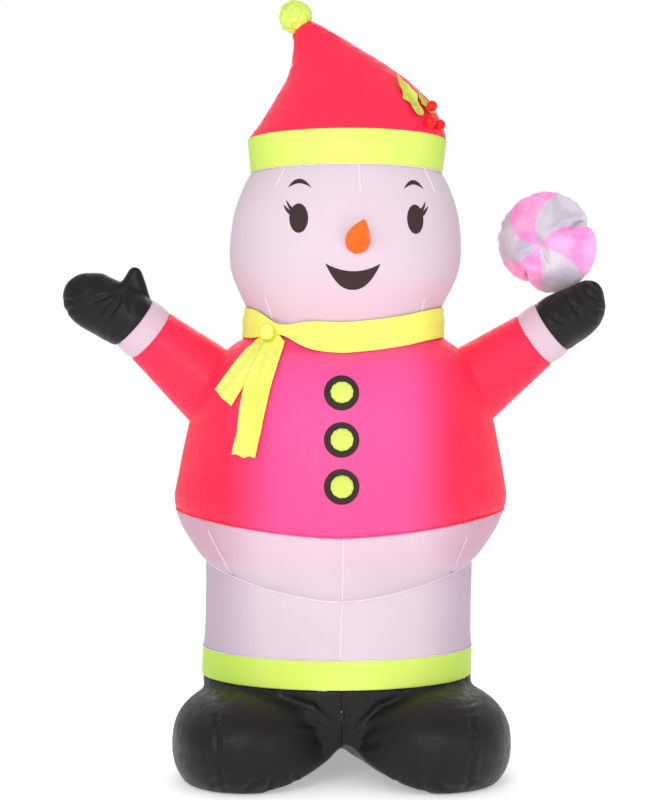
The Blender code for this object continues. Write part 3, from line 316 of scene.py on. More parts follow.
RED = polyester("berry_red_cloth", (0.80, 0.006, 0.008), (0.62, 0.003, 0.004), (0.90, 0.012, 0.012), rough=(0.28, 0.4))
ORANGE = polyester("orange_polyester", (0.98, 0.155, 0.006), (0.90, 0.105, 0.003), (1.0, 0.20, 0.012), rough=(0.4, 0.55))


def felt():
    f = Finish("black_applique", 0.8, 0.05, specular=0.2, coords="UV")
    fuzz = f.noise(900.0, 4.0)
    f.bump(fuzz, 0.0004, 0.6)
    f.bump(f.noise(60.0, 3.0), 0.0008, 0.5)
    return f.done(f.blend(fuzz, (0.030, 0.016, 0.017), (0.058, 0.036, 0.037)), f.ramp(fuzz, 0.3, 0.7, 0.68, 0.82))


def leaf_cloth():
    """Stiff green cloth, paler in its upper half, painted as lit, and darker in the other half, painted as shaded, with
    side veins pressed into it and painted darker in their grooves as shade.
    """
    f = Finish("leaf_cloth", 0.55, 0.2, coords="UV")
    veins = f.wave(0.016, "DIAGONAL")
    patches = f.noise(70.0, 3.0)
    base = f.blend(f.ramp(patches, 0.35, 0.65), (0.50, 0.56, 0.035), (0.78, 0.86, 0.12))
    # Painted shade: darker in the pressed vein grooves.
    base = f.blend(f.ramp(veins, 0.0, 0.25, 0.30, 0.0), base, (0.38, 0.42, 0.03))
    # Painted light: one half of the leaf, across its middle fold, painted paler as lit, the other half painted darker
    # as shaded.
    across = f.node("SeparateXYZ")
    f.join(f.place, across.inputs[0])
    base = f.blend(f.ramp(across.outputs["X"], -0.001, 0.001, 0.0, 0.8), base, (0.80, 0.92, 0.14))
    base = f.blend(f.ramp(across.outputs["X"], -0.003, 0.0005, 0.45, 0.0), base, (0.42, 0.46, 0.035))
    f.bump(veins, 0.0009, 0.5)
    f.bump(f.weave(0.0012), 0.0002, 0.5)
    return f.done(base, f.ramp(patches, 0.3, 0.7, 0.48, 0.64))


def webbing():
    f = Finish("black_webbing", 0.8, 0.2, coords="UV")
    ribs = f.wave(0.0022, "X")
    cross = f.wave(0.0016, "Y")
    both = f.maths("MULTIPLY", ribs, cross)
    f.bump(both, 0.0005, 0.8)
    # Painted shade and highlight: the weave is painted lighter on its raised crossings and darker in the hollows
    # between them.
    return f.done(f.blend(both, (0.010, 0.010, 0.011), (0.045, 0.045, 0.048)), f.ramp(f.noise(90.0), 0.3, 0.7, 0.7, 0.86))


def plastic(name, colour, pale, rough=(0.34, 0.52)):
    """Moulded plastic: fine spark-eroded grain, a little scuffed."""
    f = Finish(name, rough[0], specular=0.45)
    grain = f.noise(1400.0, 2.0)
    scuff = f.ramp(f.noise(38.0, 5.0, stretch=(1.0, 1.0, 3.0)), 0.58, 0.72)
    f.bump(grain, 0.0001, 0.5)
    return f.done(f.blend(f.maths("MULTIPLY", scuff, 0.5), colour, pale), f.ramp(grain, 0.3, 0.7, *rough))


def brushed_steel():
    f = Finish("brushed_steel", 0.3, metallic=1.0)
    lines = f.noise(500.0, 2.0, stretch=(1.0, 0.05, 1.0))
    f.bump(lines, 0.00006, 0.4)
    return f.done(f.blend(lines, (0.50, 0.50, 0.52), (0.70, 0.70, 0.72)), f.ramp(lines, 0.3, 0.7, 0.24, 0.42))


def swirl(centre, right, up):
    """Six curved sectors, pink and white, round the middle of each face."""
    f = Finish("candy_swirl", 0.42, 0.03, specular=0.3, coords="UV")
    split = f.node("SeparateXYZ")
    f.join(f.solid, split.inputs[0])
    offsets = [f.maths("SUBTRACT", split.outputs[i], centre[i]) for i in range(3)]

    def along(vector):
        parts = [f.maths("MULTIPLY", offset, component) for offset, component in zip(offsets, vector)]
        return f.maths("ADD", f.maths("ADD", parts[0], parts[1]), parts[2])

    a, b = along(right), along(up)
    angle = f.maths("ARCTAN2", b, a)
    radius = f.maths("SQRT", f.maths("ADD", f.maths("MULTIPLY", a, a), f.maths("MULTIPLY", b, b)))
    turned = f.maths("ADD", angle, f.maths("MULTIPLY", f.maths("MULTIPLY", radius, radius), 24.0))
    beat = f.maths("SINE", f.maths("MULTIPLY", f.maths("SUBTRACT", turned, math.radians(43.0)), 3.0))
    share = f.ramp(beat, -0.035, 0.035)
    cloud = f.ramp(f.noise(16.0, 2.0), 0.35, 0.65)
    pink = f.blend(cloud, (0.95, 0.28, 0.64), (0.99, 0.44, 0.79))
    white = f.blend(cloud, (0.56, 0.50, 0.62), (0.72, 0.64, 0.74))
    threads = f.weave(0.0016)
    base = f.blend(share, pink, white)
    f.bump(f.noise(30.0, 3.0, warp=0.5), 0.0014, 0.5)
    f.bump(threads, 0.0001, 0.5)
    return f.done(base, f.ramp(f.noise(40.0), 0.3, 0.7, 0.38, 0.52))


FELT = felt()
LEAF = leaf_cloth()
WEBBING = webbing()
PLASTIC = plastic("black_plastic", (0.018, 0.018, 0.020), (0.07, 0.07, 0.075))
FROSTED = plastic("frosted_lamp_cover", (0.86, 0.86, 0.82), (0.94, 0.94, 0.90), (0.3, 0.4))
STEEL = brushed_steel()
# Painted highlight: the seam welts are painted paler than the white cloth, as the light line along each seam ridge.
SEAM_PAINTED_HIGHLIGHT = polyester("seam_welt_painted_highlight", (0.90, 0.84, 0.90), (0.86, 0.80, 0.86), (0.94, 0.88, 0.94))

# ---------------------------------------------------------------- making pieces


def between(table, height):
    if height <= table[0][0]:
        return table[0][1]
    for (low, first), (high, last) in zip(table, table[1:]):
        if height <= high:
            return first + (last - first) * (height - low) / (high - low)
    return table[-1][1]


def bm_of(obj):
    """A bmesh of what an object's modifiers make of it."""
    graph = bpy.context.evaluated_depsgraph_get()
    data = bpy.data.meshes.new_from_object(obj.evaluated_get(graph))
    bm = bmesh.new()
    bm.from_mesh(data)
    bpy.data.meshes.remove(data)
    return bm


def helper(name, bm):
    """A hidden object that only lends its shape."""
    bmesh.ops.recalc_face_normals(bm, faces=bm.faces)
    data = bpy.data.meshes.new(name)
    bm.to_mesh(data)
    bm.free()
    obj = bpy.data.objects.new(name, data)
    bpy.context.scene.collection.objects.link(obj)
    return obj


def drop(*objs):
    for obj in objs:
        bpy.data.objects.remove(obj)


def box_uv(bm):
    """Metres across the cloth, taken from whichever side a face looks to."""
    layer = bm.loops.layers.uv.verify()
    for face in bm.faces:
        size = [abs(c) for c in face.normal]
        flat = size.index(max(size))
        across, along = [(1, 2), (0, 2), (0, 1)][flat]
        for loop in face.loops:
            loop[layer].uv = (loop.vert.co[across], loop.vert.co[along])


def turned_uv(bm, radius):
    """Metres round and up a turned section, before it is settled."""
    layer = bm.loops.layers.uv.verify()
    for face in bm.faces:
        middle = face.calc_center_median()
        facing_angle = math.atan2(middle.y, middle.x)
        for loop in face.loops:
            x, y, z = loop.vert.co
            angle = math.atan2(y, x)
            if angle - facing_angle > math.pi:
                angle -= math.tau
            elif angle - facing_angle < -math.pi:
                angle += math.tau
            loop[layer].uv = (angle * radius, z)


def piece(name, bm, material, body="figure", stands_for=(), wall=0.0, outwards=True, closed=False, levels=0):
    """Finishes a bmesh as a piece of the figure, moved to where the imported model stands."""
    bmesh.ops.translate(bm, verts=bm.verts, vec=STAND)
    if closed:
        bmesh.ops.recalc_face_normals(bm, faces=bm.faces)
    data = bpy.data.meshes.new(name)
    bm.to_mesh(data)
    bm.free()
    data.shade_smooth()
    data.materials.append(material)
    obj = bpy.data.objects.new(name, data)
    bpy.context.scene.collection.objects.link(obj)
    if wall:
        cloth = obj.modifiers.new("cloth", "SOLIDIFY")
        cloth.thickness = wall
        cloth.offset = -1.0 if outwards else 1.0
        cloth.use_even_offset = False
    if levels:
        smooth = obj.modifiers.new("smooth", "SUBSURF")
        smooth.levels = smooth.render_levels = levels
    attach(obj, body)
    if stands_for:
        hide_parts(*stands_for)
    return obj


def dense(points, step):
    """A smooth line through points, with a point about every step."""
    line = [points[0]]
    ends = [points[0], *points, points[-1]]
    for p0, p1, p2, p3 in zip(ends, ends[1:], ends[2:], ends[3:]):
        length = math.dist(p1, p2)
        count = max(1, round(length / step))
        for i in range(1, count + 1):
            t = i / count
            line.append(tuple(0.5 * (2 * b + (c - a) * t + (2 * a - 5 * b + 4 * c - d) * t * t
                                     + (3 * b - a - 3 * c + d) * t ** 3) for a, b, c, d in zip(p0, p1, p2, p3)))
    return line


def spun(outline, sides, closed=False):
    bm = bmesh.new()
    verts = [bm.verts.new((radius, 0.0, height)) for radius, height in outline]
    edges = [bm.edges.new(pair) for pair in zip(verts, verts[1:])]
    if closed:
        edges.append(bm.edges.new((verts[-1], verts[0])))
    bmesh.ops.spin(bm, geom=verts + edges, cent=(0, 0, 0), axis=(0, 0, 1), angle=math.tau, steps=sides, use_merge=True)
    bmesh.ops.remove_doubles(bm, verts=bm.verts, dist=1e-6)
    bmesh.ops.recalc_face_normals(bm, faces=bm.faces)
    return bm


def settle(bm, bend=None):
    for vert in bm.verts:
        x, y, height = vert.co
        radius = math.hypot(x, y)
        share = 1.0 - (min(abs(x) / radius, 1.0)) ** 1.6 if radius > 1e-6 and y < 0 else 0.0
        aside = LEAN * (height - UPRIGHT_Z) + (between(bend, height) if bend else 0.0)
        vert.co = (x + aside, y * DEPTH, height - between(FRONT_DIP, height) * share)
    return bm


def creased(value, sharp=2.4):
    """Turns smooth noise into rounded swells with narrow valleys between them."""
    return min(abs(value) * sharp, 1.0) - 0.62


def near_line(x, z, line):
    """(distance, how far along, the line's length) of a point from a polyline."""
    best, run, total = (9.0, 0.0), 0.0, 0.0
    for (ax, az), (bx, bz) in zip(line, line[1:]):
        length = math.hypot(bx - ax, bz - az)
        t = min(max(((x - ax) * (bx - ax) + (z - az) * (bz - az)) / (length * length), 0.0), 1.0)
        away = math.hypot(x - ax - t * (bx - ax), z - az - t * (bz - az))
        if away < best[0]:
            best = (away, run + t * length)
        run += length
    return best[0], best[1], run


def line_push(x, z, lines):
    """How far the cloth moves out at a point, for creases and sewn darts given as (line, depth, width, puckers)."""
    push = 0.0
    for number, (line, depth, width, puckers) in enumerate(lines):
        away, run, length = near_line(x, z, line)
        if away > 0.09:
            continue
        taper = min(1.0, run / (0.3 * length) + 0.25, (length - run) / (0.3 * length) + 0.25)
        push += taper * depth * (-math.exp(-(away / width) ** 2) + 0.45 * math.exp(-((away - 2.1 * width) / (1.3 * width)) ** 2))
        if puckers:
            ripple = noise.noise(Vector((run / 0.013, away / 0.07, 7.3 * number)))
            push += puckers * math.exp(-away / 0.026) * creased(ripple)
    return push


def section(name, outline, material, seed, low=0.0016, top=0.0016, reach=0.030, ripple=0.017, dents=0.0016,
            bend=None, lines=(), back_lines=(), extra=None, sides=SIDES):
    """One turned and sewn section of the body: drawn in at its seams, puckered beside them, and turned under there."""
    path = dense(outline, RING_STEP)
    runs = [0.0]
    for a, b in zip(path, path[1:]):
        runs.append(runs[-1] + math.dist(a, b))
    total = runs[-1]
    pole = path[-1][0] < 1e-6
    profile = []
    for (radius, height), run in zip(path, runs):
        pull = math.exp(-run / 0.006) + (0.0 if pole else math.exp(-(total - run) / 0.006))
        profile.append((max(radius - SEAM_PULL * pull, 0.0), height))
    gap = 0.0004
    profile = [(profile[0][0] - RIM, profile[0][1] + gap), (profile[0][0], profile[0][1] + gap), *profile[1:]]
    if not pole:
        profile[-1] = (profile[-1][0], profile[-1][1] - gap)
        profile.append((profile[-1][0] - RIM, profile[-1][1]))
    table = [(height, run) for (_, height), run in zip(path, runs)]
    bm = spun(profile, sides)
    mean = sum(radius for radius, _ in path) / len(path)
    turned_uv(bm, mean)
    for vert in bm.verts:
        x, y, height = vert.co
        radius = math.hypot(x, y)
        if radius < 1e-5:
            continue
        run = between(table, height)
        push = dents * noise.noise(Vector((x, y, height)) * 4.3 + Vector((seed, 0, 0)))
        push += 0.35 * dents * noise.noise(Vector((x, y, height)) * 13.0 + Vector((0, seed, 0)))
        for amount, away, shift in ((low, run, 0.0), (0.0 if pole else top, total - run, 40.0)):
            if amount and away < 5 * reach:
                wave = noise.noise(Vector((x / ripple, y / ripple, seed + shift + away / 0.09)))
                size = 0.55 + 0.9 * abs(noise.noise(Vector((x / 0.11, y / 0.11, seed + shift))))
                push += amount * size * math.exp(-away / reach) * creased(wave)
        if extra:
            push += extra(x, y, height, run)
        named = lines if y < 0 else back_lines
        if named:
            aside = LEAN * (height - UPRIGHT_Z) + (between(bend, height) if bend else 0.0)
            share = 1.0 - (min(abs(x) / radius, 1.0)) ** 1.6 if y < 0 else 0.0
            push += line_push(x + aside, height - between(FRONT_DIP, height) * share, named)
        scale = max(radius + push, 0.0) / radius
        vert.co = (x * scale, y * scale, height)
    settle(bm, bend)
    tree = BVHTree.FromBMesh(bm)
    return piece(name, bm, material, stands_for=(name.replace("_cloth", ""),), wall=CLOTH), tree


# ---------------------------------------------------------------- flat pieces laid on the body


def ellipse(centre, half, count=48, start=0.0, sweep=math.tau):
    steps = count if sweep >= math.tau else count - 1
    angles = [start + sweep * i / steps for i in range(count)]
    return [(centre[0] + half[0] * math.cos(a), centre[1] + half[1] * math.sin(a)) for a in angles]


def flat_bm(outlines, cell):
    """A flat face in X and Y with these outlines, the later ones holes, cut into small cells."""
    curve = bpy.data.curves.new("drawn", "CURVE")
    curve.dimensions = "2D"
    curve.fill_mode = "BOTH"
    for outline in outlines:
        spline = curve.splines.new("POLY")
        spline.points.add(len(outline) - 1)
        for point, (x, y) in zip(spline.points, outline):
            point.co = (x, y, 0.0, 1.0)
        spline.use_cyclic_u = True
    drawn = bpy.data.objects.new("drawn", curve)
    bpy.context.scene.collection.objects.link(drawn)
    bm = bm_of(drawn)
    drop(drawn)
    bmesh.ops.remove_doubles(bm, verts=bm.verts, dist=1e-6)
    for axis in (0, 1):
        values = [v.co[axis] for v in bm.verts]
        normal = Vector((1, 0, 0)) if axis == 0 else Vector((0, 1, 0))
        for i in range(math.ceil(min(values) / cell), math.floor(max(values) / cell) + 1):
            bmesh.ops.bisect_plane(bm, geom=bm.verts[:] + bm.edges[:] + bm.faces[:], dist=1e-5,
                                   plane_co=normal * (i * cell), plane_no=normal)
    layer = bm.loops.layers.uv.verify()
    for face in bm.faces:
        if face.normal.z < 0:
            face.normal_flip()
        for loop in face.loops:
            loop[layer].uv = loop.vert.co.xy
    return bm


def mean_lean(outline):
    heights = [z for _, z in outline]
    return LEAN * (sum(heights) / len(heights) - UPRIGHT_Z)


def lay_on(bm, tree, lift, turn=0.0, centre=0.0, rise=None):
    """Lays a flat bmesh, X across and Y up, on the front of one or more surfaces, lifted by lift plus rise(x, z)."""
    tree = tree if isinstance(tree, tuple) else (tree,)
    right = Vector((math.cos(turn), math.sin(turn), 0.0))
    out = Vector((math.sin(turn), -math.cos(turn), 0.0))
    middle = Vector((centre if turn else 0.0, 0.0, 0.0))
    for vert in bm.verts:
        x, z, _ = vert.co
        start = middle + right * x + Vector((0, 0, z)) + out * 1.5
        hits = [hit for hit in (surface.ray_cast(start, -out) for surface in tree) if hit[0]]
        if not hits:
            hits = [tree[0].find_nearest(start - out * 1.2)]
        place, normal = max(hits, key=lambda hit: hit[0].dot(out))[:2]
        if normal.dot(out) < 0:
            normal = -normal
        vert.co = place + normal * (lift + (rise(x, z) if rise else 0.0))
    return bm


def smooth_lift(bm, times=2):
    for _ in range(times):
        bmesh.ops.smooth_vert(bm, verts=bm.verts, factor=0.5, use_axis_x=False, use_axis_y=True, use_axis_z=False)


def mirrored(outline, side):
    return [(side * x, z) for x, z in outline]


def rounded(points, step=0.003):
    """A closed smooth outline through points."""
    count = len(points)
    line = []
    for i in range(count):
        p0, p1, p2, p3 = (points[(i + k - 1) % count] for k in range(4))
        steps = max(1, round(math.dist(p1, p2) / step))
        for j in range(steps):
            t = j / steps
            line.append(tuple(0.5 * (2 * b + (c - a) * t + (2 * a - 5 * b + 4 * c - d) * t * t
                                     + (3 * b - a - 3 * c + d) * t ** 3) for a, b, c, d in zip(p0, p1, p2, p3)))
    return line


def face(head_tree):
    """Eyes, lashes, brows and mouth: black cloth sewn flat on the head."""
    for label, side in (("left", -1), ("right", 1)):
        eye = mirrored(ellipse(EYE_PLACE, EYE_HALF, 56), side)
        bm = lay_on(flat_bm([eye], 0.006), head_tree, 0.0010, FACE_TURN, mean_lean(eye))
        for lash in (((0.0150, 0.0270), (0.0220, 0.0360), (0.0305, 0.0490), (0.0275, 0.0345), (0.0195, 0.0205)),
                     ((0.0190, 0.0190), (0.0265, 0.0262), (0.0375, 0.0370), (0.0320, 0.0215), (0.0225, 0.0100))):
            outline = mirrored([(EYE_PLACE[0] + x, EYE_PLACE[1] + z) for x, z in lash], side)
            part = lay_on(flat_bm([rounded(outline, 0.002)], 0.004), head_tree, 0.0012, FACE_TURN, mean_lean(outline))
            data = bpy.data.meshes.new("lash")
            part.to_mesh(data)
            part.free()
            bm.from_mesh(data)
            bpy.data.meshes.remove(data)
        piece(f"eye_{label}_cloth", bm, FELT, stands_for=(f"eye_{label}",), wall=0.0008)
        x0, z0 = BROW_PLACE
        steps = [i / 12 - 1 for i in range(25)]
        top = [(x0 + 0.029 * t, z0 + 0.0240 * (1 - abs(t) ** 2.1) + 0.002 * t) for t in steps]
        low = [(x0 + 0.029 * t, z0 + 0.0120 * (1 - abs(t) ** 1.7) + 0.002 * t) for t in steps[-2:0:-1]]
        brow = mirrored(top + low, side)
        bm = lay_on(flat_bm([brow], 0.006), head_tree, 0.0010, FACE_TURN, mean_lean(brow))
        piece(f"brow_{label}_cloth", bm, FELT, stands_for=(f"brow_{label}",), wall=0.0008)
    x0, z0 = MOUTH_PLACE
    steps = [i / 20 - 1 for i in range(41)]
    upper = [(x0 + MOUTH_HALF * t, z0 - 0.0205 * (1 - abs(t) ** 2.0)) for t in steps]
    lower = [(x0 + MOUTH_HALF * t, z0 - 0.0685 * (1 - abs(t) ** 2.3)) for t in steps[-2:0:-1]]
    mouth = upper + lower
    bm = lay_on(flat_bm([mouth], 0.007), head_tree, 0.0010, FACE_TURN, mean_lean(mouth))
    piece("mouth_cloth", bm, FELT, stands_for=("mouth",), wall=0.0008)


def buttons(jacket_tree):
    for number, height in enumerate(BUTTON_HEIGHTS, 1):
        rings = [ellipse((0.0, height), (BUTTON_RADIUS,) * 2, 72), ellipse((0.0, height), (PAD_RADIUS - 0.002,) * 2, 48)]
        bm = lay_on(flat_bm(rings, 0.006), jacket_tree, 0.0013, rise=lambda x, z: 0.0006 * noise.noise(Vector((x, z, 0)) * 90))
        piece(f"button_ring_{number}_cloth", bm, FELT, stands_for=(f"button_ring_{number}",), wall=0.001)
        outline = [(0.0, 0.0145), (0.4, 0.0140), (0.66, 0.0118), (0.84, 0.0085), (0.95, 0.0048), (1.0, 0.0018), (0.96, 0.0)]
        line = [(PAD_RADIUS * r, z) for r, z in dense(outline[::-1], 0.06)]
        bm = spun([(0.0, 0.0), *[(r, z) for r, z in line if r > 1e-6], (0.0, 0.0145)], 96)
        for vert in bm.verts:
            x, y, z = vert.co
            radius = math.hypot(x, y)
            angle = math.atan2(y, x)
            rim = (radius / PAD_RADIUS) ** 3
            scallop = abs(math.sin(5.5 * angle + 0.7 * number)) ** 0.6 - 0.6
            vert.co.x *= 1 + 0.05 * rim * scallop
            vert.co.y *= 1 + 0.05 * rim * scallop
            vert.co.z += 0.0022 * rim * creased(noise.noise(Vector((x / 0.006, y / 0.006, number)))) * (z > 0.001)
        box_uv(bm)
        start = Vector((0.001, -2.0, height))
        place, normal, _, _ = jacket_tree.ray_cast(start, Vector((0, 1, 0)))
        side = Vector((0, 0, 1)).cross(normal).normalized()
        stand = Matrix.Translation(place + normal * 0.0030) @ Matrix((side, normal.cross(side), normal)).transposed().to_4x4()
        bmesh.ops.transform(bm, matrix=stand, verts=bm.verts)
        pad = piece(f"button_pad_{number}_puff", bm, LIME, stands_for=(f"button_pad_{number}",), closed=True)


# ---------------------------------------------------------------- arms and hands


def arm_matrix(side):
    sign = -1 if side == "left" else 1
    angle = ARM_ANGLE[side]
    along = Vector((sign * math.cos(angle), 0.0, math.sin(angle)))
    across = Vector((0, 1, 0)).cross(along)
    turn = Matrix((across, Vector((0, 1, 0)), along)).transposed().to_4x4()
    return Matrix.Translation((sign * SHOULDER[0], 0.0, SHOULDER[1])) @ turn


def sleeve_radius(distance):
    return CUFF_RADIUS + SLEEVE_TAPER * (SLEEVE_LENGTH - distance)


def tube(name, stations, side, material, seed, low, top, reach, stands_for):
    """A sewn fabric tube along an arm."""
    path = dense(stations, 0.005)
    total = path[-1][1] - path[0][1]
    profile = [(r - SEAM_PULL * (math.exp(-(z - path[0][1]) / 0.005) + math.exp(-(path[-1][1] - z) / 0.005)), z) for r, z in path]
    profile = [(profile[0][0] - 0.008, profile[0][1]), *profile, (profile[-1][0] - 0.008, profile[-1][1])]
    bm = spun(profile, 144)
    turned_uv(bm, stations[-1][0])
    for vert in bm.verts:
        x, y, z = vert.co
        radius = math.hypot(x, y)
        push = 0.0012 * noise.noise(Vector((x, y, z)) * 11 + Vector((seed, 0, 0)))
        for amount, away, shift in ((low, z - path[0][1], 0.0), (top, path[-1][1] - z, 30.0)):
            wave = noise.noise(Vector((x / 0.013, y / 0.013, seed + shift + away / 0.07)))
            push += amount * math.exp(-away / reach) * creased(wave)
        vert.co = (x * (1 + push / radius), y * (1 + push / radius), z + ARM_SKEW * y)
    bmesh.ops.transform(bm, matrix=arm_matrix(side), verts=bm.verts)
    return piece(name, bm, material, stands_for=stands_for, wall=CLOTH)


def ball_bm(half, matrix, segments=48, rings=24):
    bm = bmesh.new()
    bmesh.ops.create_uvsphere(bm, u_segments=segments, v_segments=rings, radius=1.0,
                              matrix=matrix @ Matrix.Diagonal((*half, 1.0)))
    return bm


def together(name, shapes):
    """One helper object that holds several closed shapes."""
    whole = bmesh.new()
    for bm in shapes:
        data = bpy.data.meshes.new("part")
        bmesh.ops.recalc_face_normals(bm, faces=bm.faces)
        bm.to_mesh(data)
        bm.free()
        whole.from_mesh(data)
        bpy.data.meshes.remove(data)
    data = bpy.data.meshes.new(name)
    whole.to_mesh(data)
    whole.free()
    obj = bpy.data.objects.new(name, data)
    bpy.context.scene.collection.objects.link(obj)
    return obj


def merged_skin(obj, voxel, rounds, cutters=()):
    """One even skin over everything in obj, less the cutters, softened where the shapes met."""
    skin = obj.modifiers.new("skin", "REMESH")
    skin.mode = "VOXEL"
    skin.voxel_size = voxel
    for cutter in cutters:
        cut = obj.modifiers.new("cut", "BOOLEAN")
        cut.object = cutter
        cut.operation = "DIFFERENCE"
    if cutters:
        again = obj.modifiers.new("again", "REMESH")
        again.mode = "VOXEL"
        again.voxel_size = voxel
    bm = bm_of(obj)
    drop(obj, *cutters)
    for _ in range(rounds):
        bmesh.ops.smooth_vert(bm, verts=bm.verts, factor=0.5, use_axis_x=True, use_axis_y=True, use_axis_z=True)
    bm.normal_update()
    return bm


def wrinkle(bm, front, back, fine, seed, rough_scale=30.0):
    """Pushes creases along given lines into the front and back, with a scatter of slack wrinkles."""
    moves = []
    for vert in bm.verts:
        x, y, z = vert.co
        facing_front = vert.normal.y < 0.25
        push = line_push(x, z, front if facing_front else back) * min(1.0, abs(vert.normal.y) + 0.35)
        spot = Vector((x, y, z)) * rough_scale
        push += fine * creased(noise.noise(spot * 0.5 + Vector((seed, seed, 0)))) + 0.4 * fine * noise.noise(spot + Vector((0, seed, 0)))
        moves.append(vert.normal * push)
    for vert, move in zip(bm.verts, moves):
        vert.co += move


# For each closed shape of a mitten: whether it takes in the wrist, and its balls as ((x, z), half sizes, degrees).
LEFT_LOBES = [(True, [((-0.6795, 1.2838), (0.100, 0.060, 0.080), -28), ((-0.676, 1.318), (0.050, 0.042, 0.050), 0)]),
              (False, [((-0.5745, 1.3640), (0.0205, 0.020, 0.0205), 0), ((-0.5620, 1.2930), (0.032, 0.030, 0.032), 0),
                       ((-0.6000, 1.2900), (0.036, 0.036, 0.036), 0)])]
RIGHT_LOBES = [(True, [((0.6480, 1.2540), (0.096, 0.062, 0.074), 36), ((0.6880, 1.3030), (0.045, 0.042, 0.045), 0)])]
LEFT_CREASES = [([(-0.603, 1.332), (-0.640, 1.300), (-0.690, 1.282)], 0.0046, 0.007, 0.0),
                ([(-0.605, 1.328), (-0.612, 1.285), (-0.640, 1.235)], 0.0040, 0.006, 0.0),
                ([(-0.600, 1.324), (-0.585, 1.290), (-0.575, 1.250)], 0.0036, 0.006, 0.0),
                ([(-0.606, 1.330), (-0.628, 1.288), (-0.675, 1.240)], 0.0030, 0.005, 0.0),
                ([(-0.775, 1.290), (-0.738, 1.286)], 0.0040, 0.006, 0.0),
                ([(-0.770, 1.258), (-0.735, 1.268)], 0.0036, 0.006, 0.0),
                ([(-0.748, 1.330), (-0.718, 1.312)], 0.0034, 0.006, 0.0),
                ([(-0.715, 1.358), (-0.700, 1.335)], 0.0030, 0.005, 0.0),
                ([(-0.655, 1.178), (-0.640, 1.205)], 0.0030, 0.006, 0.0)]
RIGHT_CREASES = [([(0.655, 1.335), (0.690, 1.300), (0.726, 1.280)], 0.0046, 0.006, 0.0),
                 ([(0.565, 1.262), (0.590, 1.235), (0.625, 1.215)], 0.0036, 0.006, 0.0),
                 ([(0.602, 1.310), (0.640, 1.272), (0.660, 1.240)], 0.0040, 0.006, 0.0),
                 ([(0.690, 1.343), (0.715, 1.322)], 0.0034, 0.005, 0.0),
                 ([(0.735, 1.262), (0.705, 1.262)], 0.0034, 0.005, 0.0),
                 ([(0.710, 1.225), (0.688, 1.238)], 0.0034, 0.005, 0.0),
                 ([(0.630, 1.258), (0.668, 1.262)], 0.0028, 0.005, 0.0)]


def mitten(side, lobes, creases, candy_seat):
    wrist = arm_matrix(side) @ Matrix.Translation((0, 0, SLEEVE_LENGTH + CUFF_LENGTH))
    shapes = []
    for with_wrist, balls in lobes:
        whole = spun([(0.0, -0.04), (CUFF_RADIUS - 0.001, -0.04), (CUFF_RADIUS - 0.003, 0.03), (0.0, 0.03)], 48) \
            if with_wrist else bmesh.new()
        bmesh.ops.transform(whole, matrix=wrist, verts=whole.verts)
        for (x, z), half, angle in balls:
            matrix = Matrix.Translation((x, 0.0, z)) @ Matrix.Rotation(-math.radians(angle), 4, "Y")
            bmesh.ops.create_uvsphere(whole, u_segments=32, v_segments=20, radius=1.0,
                                      matrix=matrix @ Matrix.Diagonal((*half, 1.0)))
        hull = bmesh.ops.convex_hull(whole, input=whole.verts)
        spare = {v for key in ("geom_interior", "geom_unused") for v in hull[key] if isinstance(v, bmesh.types.BMVert)}
        bmesh.ops.delete(whole, geom=list(spare), context="VERTS")
        keep = {f for f in hull["geom"] if isinstance(f, bmesh.types.BMFace)}
        bmesh.ops.delete(whole, geom=[f for f in whole.faces if f not in keep], context="FACES_ONLY")
        shapes.append(whole)
    bm = merged_skin(together(f"mitten_{side}_form", shapes), 0.0036, 5, candy_seat)
    wrinkle(bm, creases, creases, 0.0014, 3.0 if side == "left" else 9.0, 26.0)
    base = wrist @ Vector((0, 0, 0.0006))
    away = (wrist.to_3x3() @ Vector((0, -ARM_SKEW, 1))).normalized()
    for vert in bm.verts:
        run = (vert.co - base).dot(away)
        if -0.004 < run < 0.03:
            centre = base + away * run
            vert.co = centre + (vert.co - centre) * (1 - 0.045 * math.exp(-max(run, 0.0) / 0.005))
    bmesh.ops.bisect_plane(bm, geom=bm.verts[:] + bm.edges[:] + bm.faces[:], dist=1e-5, plane_co=base, plane_no=away,
                           clear_inner=True)
    box_uv(bm)
    return piece(f"mitten_{side}_cloth", bm, BLACK, stands_for=(f"mitten_{side}",), wall=CLOTH)


# ---------------------------------------------------------------- candy


def candy_frame():
    low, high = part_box("candy_front")
    low_back, high_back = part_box("candy_back")
    centre = Vector(((min(low.x, low_back.x) + max(high.x, high_back.x)) / 2,
                     (min(low.y, low_back.y) + max(high.y, high_back.y)) / 2,
                     (min(low.z, low_back.z) + max(high.z, high_back.z)) / 2)) - STAND
    turn = Matrix.Rotation(math.radians(-25.0), 4, "Z") @ Matrix.Rotation(math.radians(98.0), 4, "X")
    return Matrix.Translation(centre) @ turn


def pillow_line(radius, half, count):
    """Half the section of a pillow made from two flat discs, rim to middle."""
    angles = [0.5 * math.pi * i / (count - 1) for i in range(count)]
    return [(radius * math.cos(a) ** 0.92, half * math.sin(a) ** 0.95) for a in angles[:-1]] + [(0.0, half)]


DISC_RADIUS, DISC_SIDES, DISC_RINGS, BLOWN_FRAMES = 0.168, 120, 22, 18


